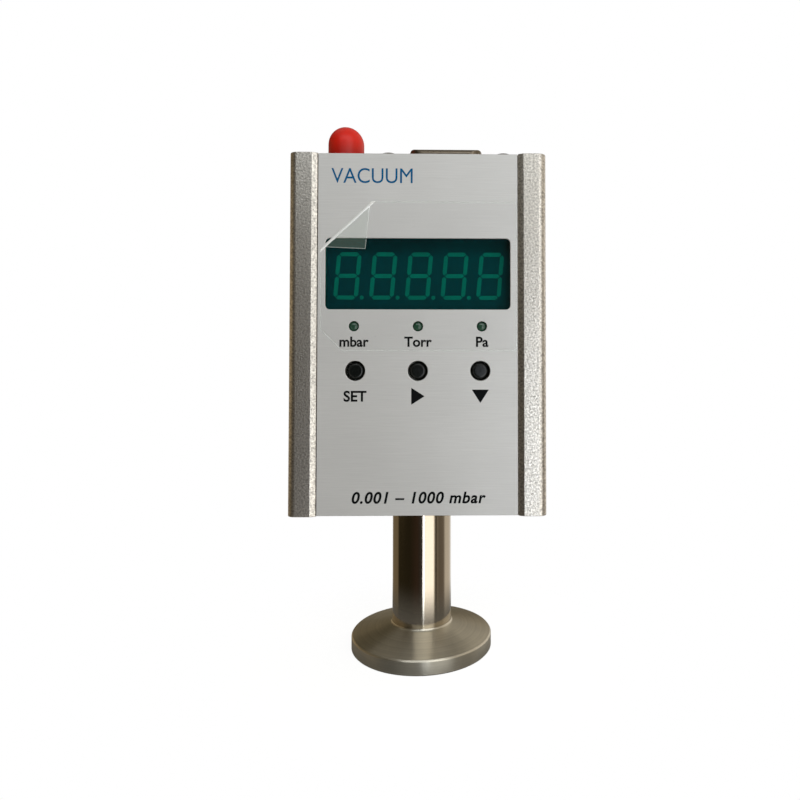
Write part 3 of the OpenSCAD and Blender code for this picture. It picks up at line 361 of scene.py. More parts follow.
def filter_acrylic(colour):
    """Cast acrylic, dyed dark green: a deep tint that lets the digits show, under a hard gloss."""
    material, tree, place = blank("green filter acrylic")
    wave = add(tree, "ShaderNodeTexNoise", {"Vector": place, "Scale": per_mm(12), "Detail": 1.0})
    cast = add(tree, "ShaderNodeBump", {
        "Height": wave.outputs["Fac"], "Strength": 0.1, "Distance": 0.02 * MM})
    through = add(tree, "ShaderNodeBsdfTransparent", {
        "Color": varied(tree, colour, wave.outputs["Fac"], 0.97, 1.0)})
    gloss = add(tree, "ShaderNodeBsdfPrincipled", {
        "Base Color": (1, 1, 1), "Metallic": 1.0, "Roughness": 0.06, "Normal": cast.outputs["Normal"]})
    slant = add(tree, "ShaderNodeLayerWeight", {"Blend": 0.5})
    rise = add(tree, "ShaderNodeMath", {0: slant.outputs["Facing"], 1: 5.0}, operation="POWER")
    share = add(tree, "ShaderNodeMapRange", {"Value": rise.outputs[0], "To Min": 0.03, "To Max": 1.0})
    surface = add(tree, "ShaderNodeMixShader", {
        0: share.outputs[0], 1: through.outputs[0], 2: gloss.outputs[0]})
    return dressed(material, surface.outputs[0])


def clear_film(name, haze, dirt, shine, colour):
    """Clear polyethylene film: a faint haze with specks, ripples, and a gloss that grows at a slant."""
    material, tree, place = blank(name)
    ripple = add(tree, "ShaderNodeTexNoise", {"Vector": place, "Scale": per_mm(6), "Detail": 2.0})
    wave = add(tree, "ShaderNodeBump", {
        "Height": ripple.outputs["Fac"], "Strength": 0.3, "Distance": 0.15 * MM})
    # Flecks of dust about 0.25 mm wide, one in some of the 2.5 mm cells
    cells = add(tree, "ShaderNodeTexVoronoi", {"Vector": place, "Scale": per_mm(2.5)})
    chance = add(tree, "ShaderNodeSeparateColor", {"Color": cells.outputs["Color"]})
    small = add(tree, "ShaderNodeMath", {0: chance.outputs["Red"], 1: 0.06}, operation="MULTIPLY")
    fleck = add(tree, "ShaderNodeMath", {
        0: cells.outputs["Distance"], 1: small.outputs[0]}, operation="LESS_THAN")
    dust = add(tree, "ShaderNodeMapRange", {
        "Value": fleck.outputs[0], "To Min": haze, "To Max": haze + dirt})
    slant = add(tree, "ShaderNodeLayerWeight", {"Blend": 0.5, "Normal": wave.outputs["Normal"]})
    rise = add(tree, "ShaderNodeMath", {0: slant.outputs["Facing"], 1: 5.0}, operation="POWER")
    share = add(tree, "ShaderNodeMapRange", {
        "Value": rise.outputs[0], "To Min": shine, "To Max": min(25 * shine, 1.0)})
    veil = add(tree, "ShaderNodeBsdfPrincipled", {
        "Base Color": linear(colour), "Roughness": 0.35, "Normal": wave.outputs["Normal"]})
    gloss = add(tree, "ShaderNodeBsdfPrincipled", {
        "Base Color": (1, 1, 1), "Metallic": 1.0, "Roughness": 0.08, "Normal": wave.outputs["Normal"]})
    through = add(tree, "ShaderNodeBsdfTransparent", {"Color": linear("#fefefe")})
    hazy = add(tree, "ShaderNodeMixShader", {
        0: dust.outputs[0], 1: through.outputs[0], 2: veil.outputs[0]})
    surface = add(tree, "ShaderNodeMixShader", {
        0: share.outputs[0], 1: hazy.outputs[0], 2: gloss.outputs[0]})
    return dressed(material, surface.outputs[0])


def moulded_plastic(name, colour, roughness, grain=0.25):
    """Moulded plastic: an even colour with the fine spark-eroded grain of its mould."""
    material, tree, place = blank(name)
    spark = add(tree, "ShaderNodeTexNoise", {"Vector": place, "Scale": per_mm(grain), "Detail": 2.0})
    tint = varied(tree, colour, spark.outputs["Fac"], 0.88, 1.12)
    gloss = add(tree, "ShaderNodeMapRange", {
        "Value": spark.outputs["Fac"], "To Min": roughness - 0.06, "To Max": roughness + 0.06})
    relief = add(tree, "ShaderNodeBump", {
        "Height": spark.outputs["Fac"], "Strength": 0.15, "Distance": 0.03 * MM})
    surface = add(tree, "ShaderNodeBsdfPrincipled", {
        "Base Color": tint, "Roughness": gloss.outputs[0], "IOR": 1.52,
        "Normal": relief.outputs["Normal"]})
    return dressed(material, surface.outputs["BSDF"])


def soft_pvc(colour):
    """Dip-moulded soft PVC: a saturated skin with painted shade that darkens it towards its mouth, and a
    waxy sheen.
    """
    material, tree, place = blank("dip-moulded soft PVC")
    ripple = add(tree, "ShaderNodeTexNoise", {"Vector": place, "Scale": per_mm(1.6), "Detail": 2.0})
    apart = add(tree, "ShaderNodeSeparateXYZ", {"Vector": place})
    mouth, crown = (corner.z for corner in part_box("dust_cap"))
    tint = varied(tree, colour, ripple.outputs["Fac"], 0.9, 1.08)
    # Painted shade: the lower half of the cap is darkened towards its mouth, where the housing's top keeps
    # light off
    tint = varied(tree, tint, apart.outputs["Z"], 0.45, 1.0, (mouth, (mouth + crown) / 2))
    gloss = add(tree, "ShaderNodeMapRange", {
        "Value": ripple.outputs["Fac"], "To Min": 0.34, "To Max": 0.44})
    waves = add(tree, "ShaderNodeBump", {
        "Height": ripple.outputs["Fac"], "Strength": 0.12, "Distance": 0.05 * MM})
    surface = add(tree, "ShaderNodeBsdfPrincipled", {
        "Base Color": tint, "Roughness": gloss.outputs[0], "IOR": 1.53, "Specular IOR Level": 0.3,
        "Subsurface Weight": 0.05, "Subsurface Radius": (1.0, 0.25, 0.15), "Subsurface Scale": 0.4 * MM,
        "Normal": waves.outputs["Normal"]})
    return dressed(material, surface.outputs["BSDF"])


def turned_steel(name, colour, roughness, feed, depth, stretch, fan):
    """Stainless steel, turned or drawn: tool lines round its axis, which fan its warm grey gloss out."""
    material, tree, place = blank(name)
    apart = add(tree, "ShaderNodeSeparateXYZ", {"Vector": place})
    level = add(tree, "ShaderNodeCombineXYZ", {"X": apart.outputs["X"], "Y": apart.outputs["Y"]})
    radius = add(tree, "ShaderNodeVectorMath", {0: level.outputs[0]}, operation="LENGTH")
    rings = add(tree, "ShaderNodeCombineXYZ", {"X": radius.outputs["Value"], "Y": apart.outputs["Z"]})
    # The tool's feed marks are drawn a little coarser than they are, so that they show
    line = add(tree, "ShaderNodeTexNoise", {
        "Vector": rings.outputs[0], "Scale": per_mm(feed), "Detail": 2.0, "Roughness": 0.6})
    smear = add(tree, "ShaderNodeMapping", {"Vector": place, "Scale": (1, 1, stretch)})
    cloud = add(tree, "ShaderNodeTexNoise", {"Vector": smear.outputs[0], "Scale": per_mm(3), "Detail": 3.0})
    tint = varied(tree, colour, cloud.outputs["Fac"], 0.96, 1.03, MOST)
    tint = varied(tree, tint, line.outputs["Fac"], 1 - depth, 1.0, MOST)
    gloss = add(tree, "ShaderNodeMapRange", {
        "Value": cloud.outputs["Fac"], "From Min": 0.3, "From Max": 0.7,
        "To Min": roughness - 0.015, "To Max": roughness + 0.02})
    marks = add(tree, "ShaderNodeBump", {
        "Height": line.outputs["Fac"], "Strength": depth, "Distance": 0.02 * MM})
    round_axis = add(tree, "ShaderNodeTangent", direction_type="RADIAL", axis="Z")
    surface = add(tree, "ShaderNodeBsdfPrincipled", {
        "Base Color": tint, "Metallic": 1.0, "Roughness": gloss.outputs[0],
        "Anisotropic": fan, "Anisotropic Rotation": 0.25, "Tangent": round_axis.outputs[0],
        "Normal": marks.outputs["Normal"]})
    return dressed(material, surface.outputs["BSDF"])


def plated_metal(name, colour, roughness):
    """Plated metal: a bright skin with faint stains, as wavy as the pressed or turned metal below."""
    material, tree, place = blank(name)
    stain = add(tree, "ShaderNodeTexNoise", {"Vector": place, "Scale": per_mm(2.5), "Detail": 4.0})
    tint = varied(tree, colour, stain.outputs["Fac"], 0.88, 1.05, MOST)
    gloss = add(tree, "ShaderNodeMapRange", {
        "Value": stain.outputs["Fac"], "To Min": roughness + 0.08, "To Max": roughness - 0.05})
    wave = add(tree, "ShaderNodeBump", {
        "Height": stain.outputs["Fac"], "Strength": 0.1, "Distance": 0.04 * MM})
    surface = add(tree, "ShaderNodeBsdfPrincipled", {
        "Base Color": tint, "Metallic": 1.0, "Roughness": gloss.outputs[0],
        "Normal": wave.outputs["Normal"]})
    return dressed(material, surface.outputs["BSDF"])


def tinted_epoxy(name, colour, roughness):
    """Cast, diffusing epoxy: a milky tint that lets a little light in, with a clean gloss."""
    material, tree, place = blank(name)
    milk = add(tree, "ShaderNodeTexNoise", {"Vector": place, "Scale": per_mm(0.5), "Detail": 2.0})
    surface = add(tree, "ShaderNodeBsdfPrincipled", {
        "Base Color": varied(tree, colour, milk.outputs["Fac"], 0.85, 1.12),
        "Roughness": roughness, "IOR": 1.54,
        "Subsurface Weight": 0.2, "Subsurface Radius": (0.5, 1.0, 0.7), "Subsurface Scale": 0.6 * MM})
    return dressed(material, surface.outputs["BSDF"])


def circuit_board():
    """Glass epoxy under green solder mask: copper tracks show through it as paler, raised lines."""
    material, tree, place = blank("solder-masked glass epoxy")
    cells = add(tree, "ShaderNodeTexVoronoi", {"Vector": place, "Scale": per_mm(2.2), "Randomness": 0.4},
                distance="CHEBYCHEV")
    track = add(tree, "ShaderNodeMapRange", {
        "Value": cells.outputs["Distance"], "From Min": 0.38, "From Max": 0.44})
    tint = add(tree, "ShaderNodeMix", {
        0: track.outputs[0], 6: (*linear("#0f5a2b"), 1), 7: (*linear("#2c8a4c"), 1)}, data_type="RGBA")
    raised = add(tree, "ShaderNodeBump", {
        "Height": track.outputs[0], "Strength": 0.4, "Distance": 0.03 * MM})
    surface = add(tree, "ShaderNodeBsdfPrincipled", {
        "Base Color": tint.outputs[2], "Roughness": 0.3, "IOR": 1.5, "Normal": raised.outputs["Normal"]})
    return dressed(material, surface.outputs["BSDF"])


def sealing_glass():
    """Fused sealing glass: smoky blue, with small bubbles, and glossy."""
    material, tree, place = blank("fused sealing glass")
    bubble = add(tree, "ShaderNodeTexVoronoi", {"Vector": place, "Scale": per_mm(0.8)})
    tint = varied(tree, linear("#7f9fb4"), bubble.outputs["Distance"], 1.15, 0.85)
    surface = add(tree, "ShaderNodeBsdfPrincipled", {
        "Base Color": tint, "Roughness": 0.12, "IOR": 1.52, "Transmission Weight": 0.3})
    return dressed(material, surface.outputs["BSDF"])


def screen_ink(name, colour):
    """Screen-printed ink: dense and matt, with the faint mottle of the mesh."""
    material, tree, place = blank(name)
    mesh = add(tree, "ShaderNodeTexNoise", {"Vector": place, "Scale": per_mm(0.2), "Detail": 1.0})
    tint = varied(tree, colour, mesh.outputs["Fac"], 0.85, 1.15)
    surface = add(tree, "ShaderNodeBsdfPrincipled", {
        "Base Color": tint, "Roughness": 0.75, "IOR": 1.5, "Specular IOR Level": 0.1})
    return dressed(material, surface.outputs["BSDF"])


# Pieces


class GAUGE_OT_housing(bpy.types.Operator):
    """Eases the housing's edges and gives the extrusion and its end plates their blasted finish"""

    bl_idname = "gauge.housing"
    bl_label = "Housing"

    def execute(self, context):
        # The bevels beside the faceplate meet the rails at about 25 degrees, and stay crisp
        eased("body_shell", 0.12, angle=20)
        eased("top_plate", 0.12)
        eased("bottom_plate", 0.12)
        blasted = blasted_aluminium(context.scene.gauge_colours.housing)
        coat(blasted, "body_shell", "top_plate", "bottom_plate")
        screws = plated_metal("zinc-plated screw steel", linear("#a9a8a6"), 0.3)
        coat(screws, "top_plate_screws", "bottom_plate_screws", "collar_screws")
        return {"FINISHED"}


class GAUGE_OT_faceplate(bpy.types.Operator):
    """Eases the punched edges of the faceplate and brushes it"""

    bl_idname = "gauge.faceplate"
    bl_label = "Faceplate"

    def execute(self, context):
        eased("front_plate", 0.1)
        coat(brushed_aluminium(context.scene.gauge_colours.plate), "front_plate")
        return {"FINISHED"}


def printed(name, words, height, x, z, ink, width=None, shear=0.0, spacing=1.0, weight=0.026):
    """Words printed on the faceplate, with capitals of that height, their middle at x and foot at z."""
    deselect()
    bpy.ops.object.text_add()
    piece = bpy.context.object
    piece.name = name
    piece.data.body = "H"
    bpy.context.view_layer.update()
    capital = piece.dimensions.y
    piece.data.body = words
    piece.data.align_x = "CENTER"
    piece.data.shear = shear
    piece.data.space_character = spacing
    piece.data.extrude = ink / 2 * capital / height
    piece.data.resolution_u = 6
    piece.data.offset = weight
    bpy.ops.object.convert(target="MESH")
    piece = bpy.context.object
    size = height / capital
    across = size if width is None else width / piece.dimensions.x
    piece.scale = (across, size, size)
    piece.rotation_euler = (math.radians(90), 0, 0)
    piece.location = (x, FACE_Y - ink / 2, z)
    settle(piece)
    return piece


def arrow(name, width, height, turn, x, z, ink):
    """A printed three-cornered arrow, centred at x and z and turned from pointing right."""
    deselect()
    bpy.ops.mesh.primitive_cylinder_add(vertices=3, radius=1, depth=ink)
    piece = bpy.context.object
    piece.name = name
    corners = piece.modifiers.new("rounded corners", "BEVEL")
    corners.width = 0.06
    corners.segments = 3
    corners.limit_method = "ANGLE"
    corners.angle_limit = math.radians(100)
    bpy.ops.object.modifier_apply(modifier=corners.name)
    piece.rotation_euler = (0, 0, math.radians(-90))
    settle(piece)
    piece.scale = (width / piece.dimensions.x, height / piece.dimensions.y, 1)
    settle(piece)
    piece.rotation_euler = (math.radians(90), 0, 0)
    settle(piece)
    piece.rotation_euler = (0, turn, 0)
    settle(piece)
    low, high = (Vector(piece.bound_box[i]) for i in (0, 6))
    piece.location = Vector((x, FACE_Y - ink / 2, z)) - (low + high) / 2
    settle(piece)
    return piece


class GAUGE_OT_legends(bpy.types.Operator):
    """Prints the heading, the units, the key signs and the measuring range on the faceplate"""

    bl_idname = "gauge.legends"
    bl_label = "Legends"

    def execute(self, context):
        words, colours = context.scene.gauge_legends, context.scene.gauge_colours
        black = screen_ink("black screen-printing ink", colours.black_ink)
        blue = screen_ink("blue screen-printing ink", colours.blue_ink)
        # Heights of capitals, widths of lines, and the places of their middle and foot
        heading_h, heading_w, heading_x, heading_z = 2.9 * MM, 15.9 * MM, -8.9 * MM, 96.05 * MM
        unit_h, unit_z = 1.85 * MM, LAMP_Z - 3.95 * MM
        sign_z = KEY_Z - 4.95 * MM
        word_h, word_z = 1.95 * MM, sign_z - 0.97 * MM
        arrow_size = (2.55 * MM, 3.25 * MM)
        span_h, span_w, span_z = 2.1 * MM, 26 * MM, 33.55 * MM
        heading = printed("heading_print", words.heading, heading_h, heading_x, heading_z, words.ink,
                          width=heading_w, weight=0.0)
        join_housing(heading, blue)
        for i, unit in enumerate(words.units.split()):
            name = f"unit_print_{i + 1}"
            join_housing(printed(name, unit, unit_h, (i - 1) * LAMP_X, unit_z, words.ink), black)
        word = printed("left_key_print", words.left_key, word_h, -KEY_X, word_z, words.ink)
        join_housing(word, black)
        for name, turn, x in (("middle_key_print", 0, 0), ("right_key_print", math.radians(90), KEY_X)):
            join_housing(arrow(name, *arrow_size, turn, x, sign_z, words.ink), black)
        span = printed("range_print", words.span, span_h, 0, span_z, words.ink,
                       width=span_w, shear=0.2, spacing=1.1)
        join_housing(span, black)
        return {"FINISHED"}


class GAUGE_OT_film(bpy.types.Operator):
    """Lays the clear film over the display, with one corner folded over and one clipped off"""

    bl_idname = "gauge.film"
    bl_label = "Protective film"

    def execute(self, context):
        cut = context.scene.gauge_film
        left, right = FILM_LOW.x, FILM_HIGH.x
        low, top = FILM_LOW.z, FILM_HIGH.z
        width, height = right - left, top - low
        base_y = FACE_Y - cut.lift
        deselect()
        bpy.ops.mesh.primitive_grid_add(
            x_subdivisions=round(width / MM), y_subdivisions=round(height / MM), size=1)
        film = context.object
        film.name = "folded_film"
        film.scale = (width, height, 1)
        film.rotation_euler = (math.radians(90), 0, 0)
        film.location = ((left + right) / 2, base_y, (low + top) / 2)
        settle(film)
        # The fold runs from the left edge to the upper edge; out points from it to the corner
        start = Vector((left, base_y, top - cut.fold_z))
        along = Vector((cut.fold_x, 0, cut.fold_z)).normalized()
        out = Vector((-along.z, 0, along.x))
        up = Vector((0, -1, 0))
        rolled = cut.radius * cut.turn
        bpy.ops.object.mode_set(mode="EDIT")
        steps = 12
        for reach in [rolled * i / steps for i in range(steps + 1)] + [rolled + cut.crease]:
            bpy.ops.mesh.select_all(action="SELECT")
            bpy.ops.mesh.bisect(plane_co=start + out * reach, plane_no=out)
        bpy.ops.mesh.select_all(action="SELECT")
        bpy.ops.mesh.bisect(
            plane_co=(left + cut.clip, base_y, low), plane_no=(-1, 0, -1), clear_outer=True)
        # A narrow border along each cut edge, where the knife has bruised the film
        border = [(Vector((x, base_y, z)), Vector(away).normalized()) for x, z, away in (
            (left, low, (-1, 0, 0)), (right, low, (1, 0, 0)), (left, low, (0, 0, -1)),
            (left, top, (0, 0, 1)), (left + cut.clip, low, (-1, 0, -1)))]
        for place, away in border:
            bpy.ops.mesh.select_all(action="SELECT")
            bpy.ops.mesh.bisect(plane_co=place - away * cut.bruise, plane_no=away)
        bpy.ops.object.mode_set(mode="OBJECT")
        clear, inner, edge, fold, flap = range(5)
        for face in film.data.polygons:
            reach = (face.center - start).dot(out)
            if 0 < reach < rolled + cut.crease:
                face.material_index = fold
            elif any((face.center - place).dot(away) > -cut.bruise for place, away in border):
                face.material_index = edge
            elif reach > 0:
                face.material_index = flap
        for vertex in film.data.vertices:
            reach = (vertex.co - start).dot(out)
            if reach <= 0:
                continue
            angle = min(reach, rolled) / cut.radius
            straight = max(reach - rolled, 0)
            foot = vertex.co - out * reach
            over = cut.radius * math.sin(angle) + straight * math.cos(angle)
            proud = cut.radius * (1 - math.cos(angle)) + straight * math.sin(angle)
            vertex.co = foot + out * over + up * proud
        flat = len(film.data.polygons)
        for name, haze, dirt, shine, colour in (
                ("clear polyethylene film", 0.001, 0.25, 0.012, "#eef2f0"),
                ("inner side of the film", 0.0, 0.0, 0.0, "#eef2f0"),
                ("bruised edge of the film", 0.2, 0.0, 0.03, "#e6f2ec"),
                # The fold's near-opaque white is partly stress whitening and partly a painted highlight for
                # the glint along its roll
                ("stress-whitened fold with painted glint", 0.95, 0.0, 0.05, "#f8faf8"),
                # Painted light: the flap's haze is tinted green to stand in for the display's green seen
                # through it
                ("creased flap with painted display green", 0.05, 0.2, 0.0, "#c8ecd8")):
            film.data.materials.append(clear_film(name, haze, dirt, shine, colour))
        pick(film)
        sheet = film.modifiers.new("film thickness", "SOLIDIFY")
        sheet.thickness = cut.thickness
        sheet.offset = 1
        sheet.material_offset, sheet.material_offset_rim = 0, 0
        bpy.ops.object.modifier_apply(modifier=sheet.name)
        bpy.ops.object.shade_smooth_by_angle(angle=math.radians(35))
        for face in film.data.polygons[flat:2 * flat]:
            if face.material_index == clear:
                face.material_index = inner
        # Clear film takes no light from what lies under it, so its layers stand aside for all but the eye
        film.visible_shadow = film.visible_diffuse = film.visible_glossy = False
        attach(film, "housing")
        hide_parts("protective_film")
        return {"FINISHED"}


class GAUGE_OT_display(bpy.types.Operator):
    """Finishes the pane, the digits, the lamps and the keys"""

    bl_idname = "gauge.display"
    bl_label = "Display, lamps and keys"

    def execute(self, context):
        colours = context.scene.gauge_colours
        coat(filter_acrylic(colours.pane), "display_window")
        coat(moulded_plastic("dark display case", linear("#324a5b"), 0.5), "display_module")
        coat(tinted_epoxy("diffusing segment epoxy", colours.segments, 0.4), "display_segments")
        coat(tinted_epoxy("tinted lamp epoxy", colours.lamps, 0.18), "led_left", "led_middle", "led_right")
        sides = ("left", "middle", "right")
        key_black = moulded_plastic("black moulded ABS", linear("#070d0c"), 0.22)
        for side in sides:
            eased("button_" + side, 0.7, 5)
            coat(key_black, "button_" + side, "switch_body_" + side)
        tin = plated_metal("tinned switch steel", linear("#b9b7b0"), 0.3)
        coat(tin, *("switch_cover_" + side for side in sides), "switch_domes")
        return {"FINISHED"}


class GAUGE_OT_connectors(bpy.types.Operator):
    """Finishes the data connector, the coaxial jack and its cap"""

    bl_idname = "gauge.connectors"
    bl_label = "Connectors and cap"

    def execute(self, context):
        eased("dsub_jackscrews", 0.1)
        eased("coax_nut", 0.15)
        self.cut_thread(eased("coax_jack", 0.05))
        eased("coax_washer", 0.1)
        nickel = plated_metal("nickel-plated steel", linear("#756b5d"), 0.3)
        coat(nickel, "dsub_shell", "dsub_rear_shell", "dsub_jackscrews", "jackscrew_nuts", "coax_washer")
        gold = plated_metal("gold-plated brass", linear("#e0b45c"), 0.22)
        coat(gold, "dsub_contacts", "coax_jack", "coax_nut", "coax_contact", "header_pins", "sensor_link",
             "board_pins", "connector_link")
        coat(moulded_plastic("black glass-filled PBT", linear("#15171a"), 0.5), "dsub_insulator")
        coat(moulded_plastic("turned PTFE", linear("#ecebe6"), 0.45, 0.6), "coax_insulator")
        coat(soft_pvc(context.scene.gauge_colours.cap), "dust_cap")
        return {"FINISHED"}

    def cut_thread(self, jack):
        """Cuts the thread, 36 turns to the inch, into the jack's quarter-inch barrel above the nut."""
        pitch, barrel = 25.4 / 36 * MM, 3.175 * MM
        depth, over, breadth = 0.36 * MM, 0.15 * MM, 0.64 * MM
        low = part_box("coax_nut")[1].z - 1.2 * MM
        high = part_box("coax_jack")[1].z + pitch
        middle = sum(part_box("coax_jack"), Vector()) / 2
        deselect()
        bpy.ops.mesh.primitive_circle_add(vertices=3, radius=1)
        groove = bpy.context.object
        groove.scale = (breadth / groove.dimensions.x, (depth + over) / groove.dimensions.y, 1)
        settle(groove)
        # The three-cornered tool stands upright, with its point towards the axis
        groove.rotation_euler = (0, 0, math.radians(90))
        settle(groove)
        groove.rotation_euler = (math.radians(90), 0, 0)
        settle(groove)
        groove.location = (barrel - depth - groove.bound_box[0][0], 0, 0)
        settle(groove)
        winding = groove.modifiers.new("thread path", "SCREW")
        winding.axis, winding.angle, winding.screw_offset = "Z", math.tau, pitch
        winding.iterations = math.ceil((high - low) / pitch)
        winding.steps = winding.render_steps = 40
        bpy.ops.object.modifier_apply(modifier=winding.name)
        bpy.ops.object.mode_set(mode="EDIT")
        bpy.ops.mesh.select_all(action="SELECT")
        bpy.ops.mesh.fill_holes(sides=3)
        bpy.ops.mesh.select_all(action="SELECT")
        bpy.ops.mesh.normals_make_consistent(inside=False)
        groove.location = (middle.x, middle.y, low)
        settle(groove)
        pick(jack)
        cut = jack.modifiers.new("thread", "BOOLEAN")
        cut.operation, cut.solver, cut.object = "DIFFERENCE", "EXACT", groove
        bpy.ops.object.modifier_apply(modifier=cut.name)
        bpy.data.objects.remove(groove)
        bpy.ops.object.shade_smooth_by_angle(angle=math.radians(30))


class GAUGE_OT_sensor(bpy.types.Operator):
    """Finishes the flange, the tube and the sensor inside it"""

    bl_idname = "gauge.sensor"
    bl_label = "Sensor"

    def execute(self, context):
        colour = context.scene.gauge_colours.steel
        eased("kf_flange", 0.05)
        turned = turned_steel(
            "turned stainless steel", linear("#dcd6c6"), 0.36, feed=0.45, depth=0.15, stretch=1, fan=0.85)
        coat(turned, "kf_flange")
        drawn = turned_steel("drawn stainless tube", colour, 0.1, feed=0.3, depth=0.04, stretch=0.1, fan=0)
        coat(drawn, "sensor_tube")
        machined = turned_steel(
            "machined collar steel", colour, 0.3, feed=0.15, depth=0.15, stretch=1, fan=0.5)
        coat(machined, "tube_collar", "header_ring", "filament_supports")
        coat(sealing_glass(), "header_glass")
        coat(plated_metal("drawn tungsten wire", linear("#8d8a86"), 0.4), "filament")
        return {"FINISHED"}


class GAUGE_OT_electronics(bpy.types.Operator):
    """Finishes the circuit boards and what is soldered to them"""

    bl_idname = "gauge.electronics"
    bl_label = "Electronics"

    def execute(self, context):
        coat(circuit_board(), "display_board", "main_board", "sensor_board", "connector_board")
        chip = moulded_plastic("chip epoxy", linear("#23262a"), 0.55)
        coat(chip, "microcontroller", "bridge_amplifier", "regulator")
        coat(moulded_plastic("black strip nylon", linear("#1a1b1d"), 0.45), "board_header", "board_socket")
        coat(plated_metal("drawn capacitor aluminium", linear("#c4c6c8"), 0.25), "capacitors")
        return {"FINISHED"}


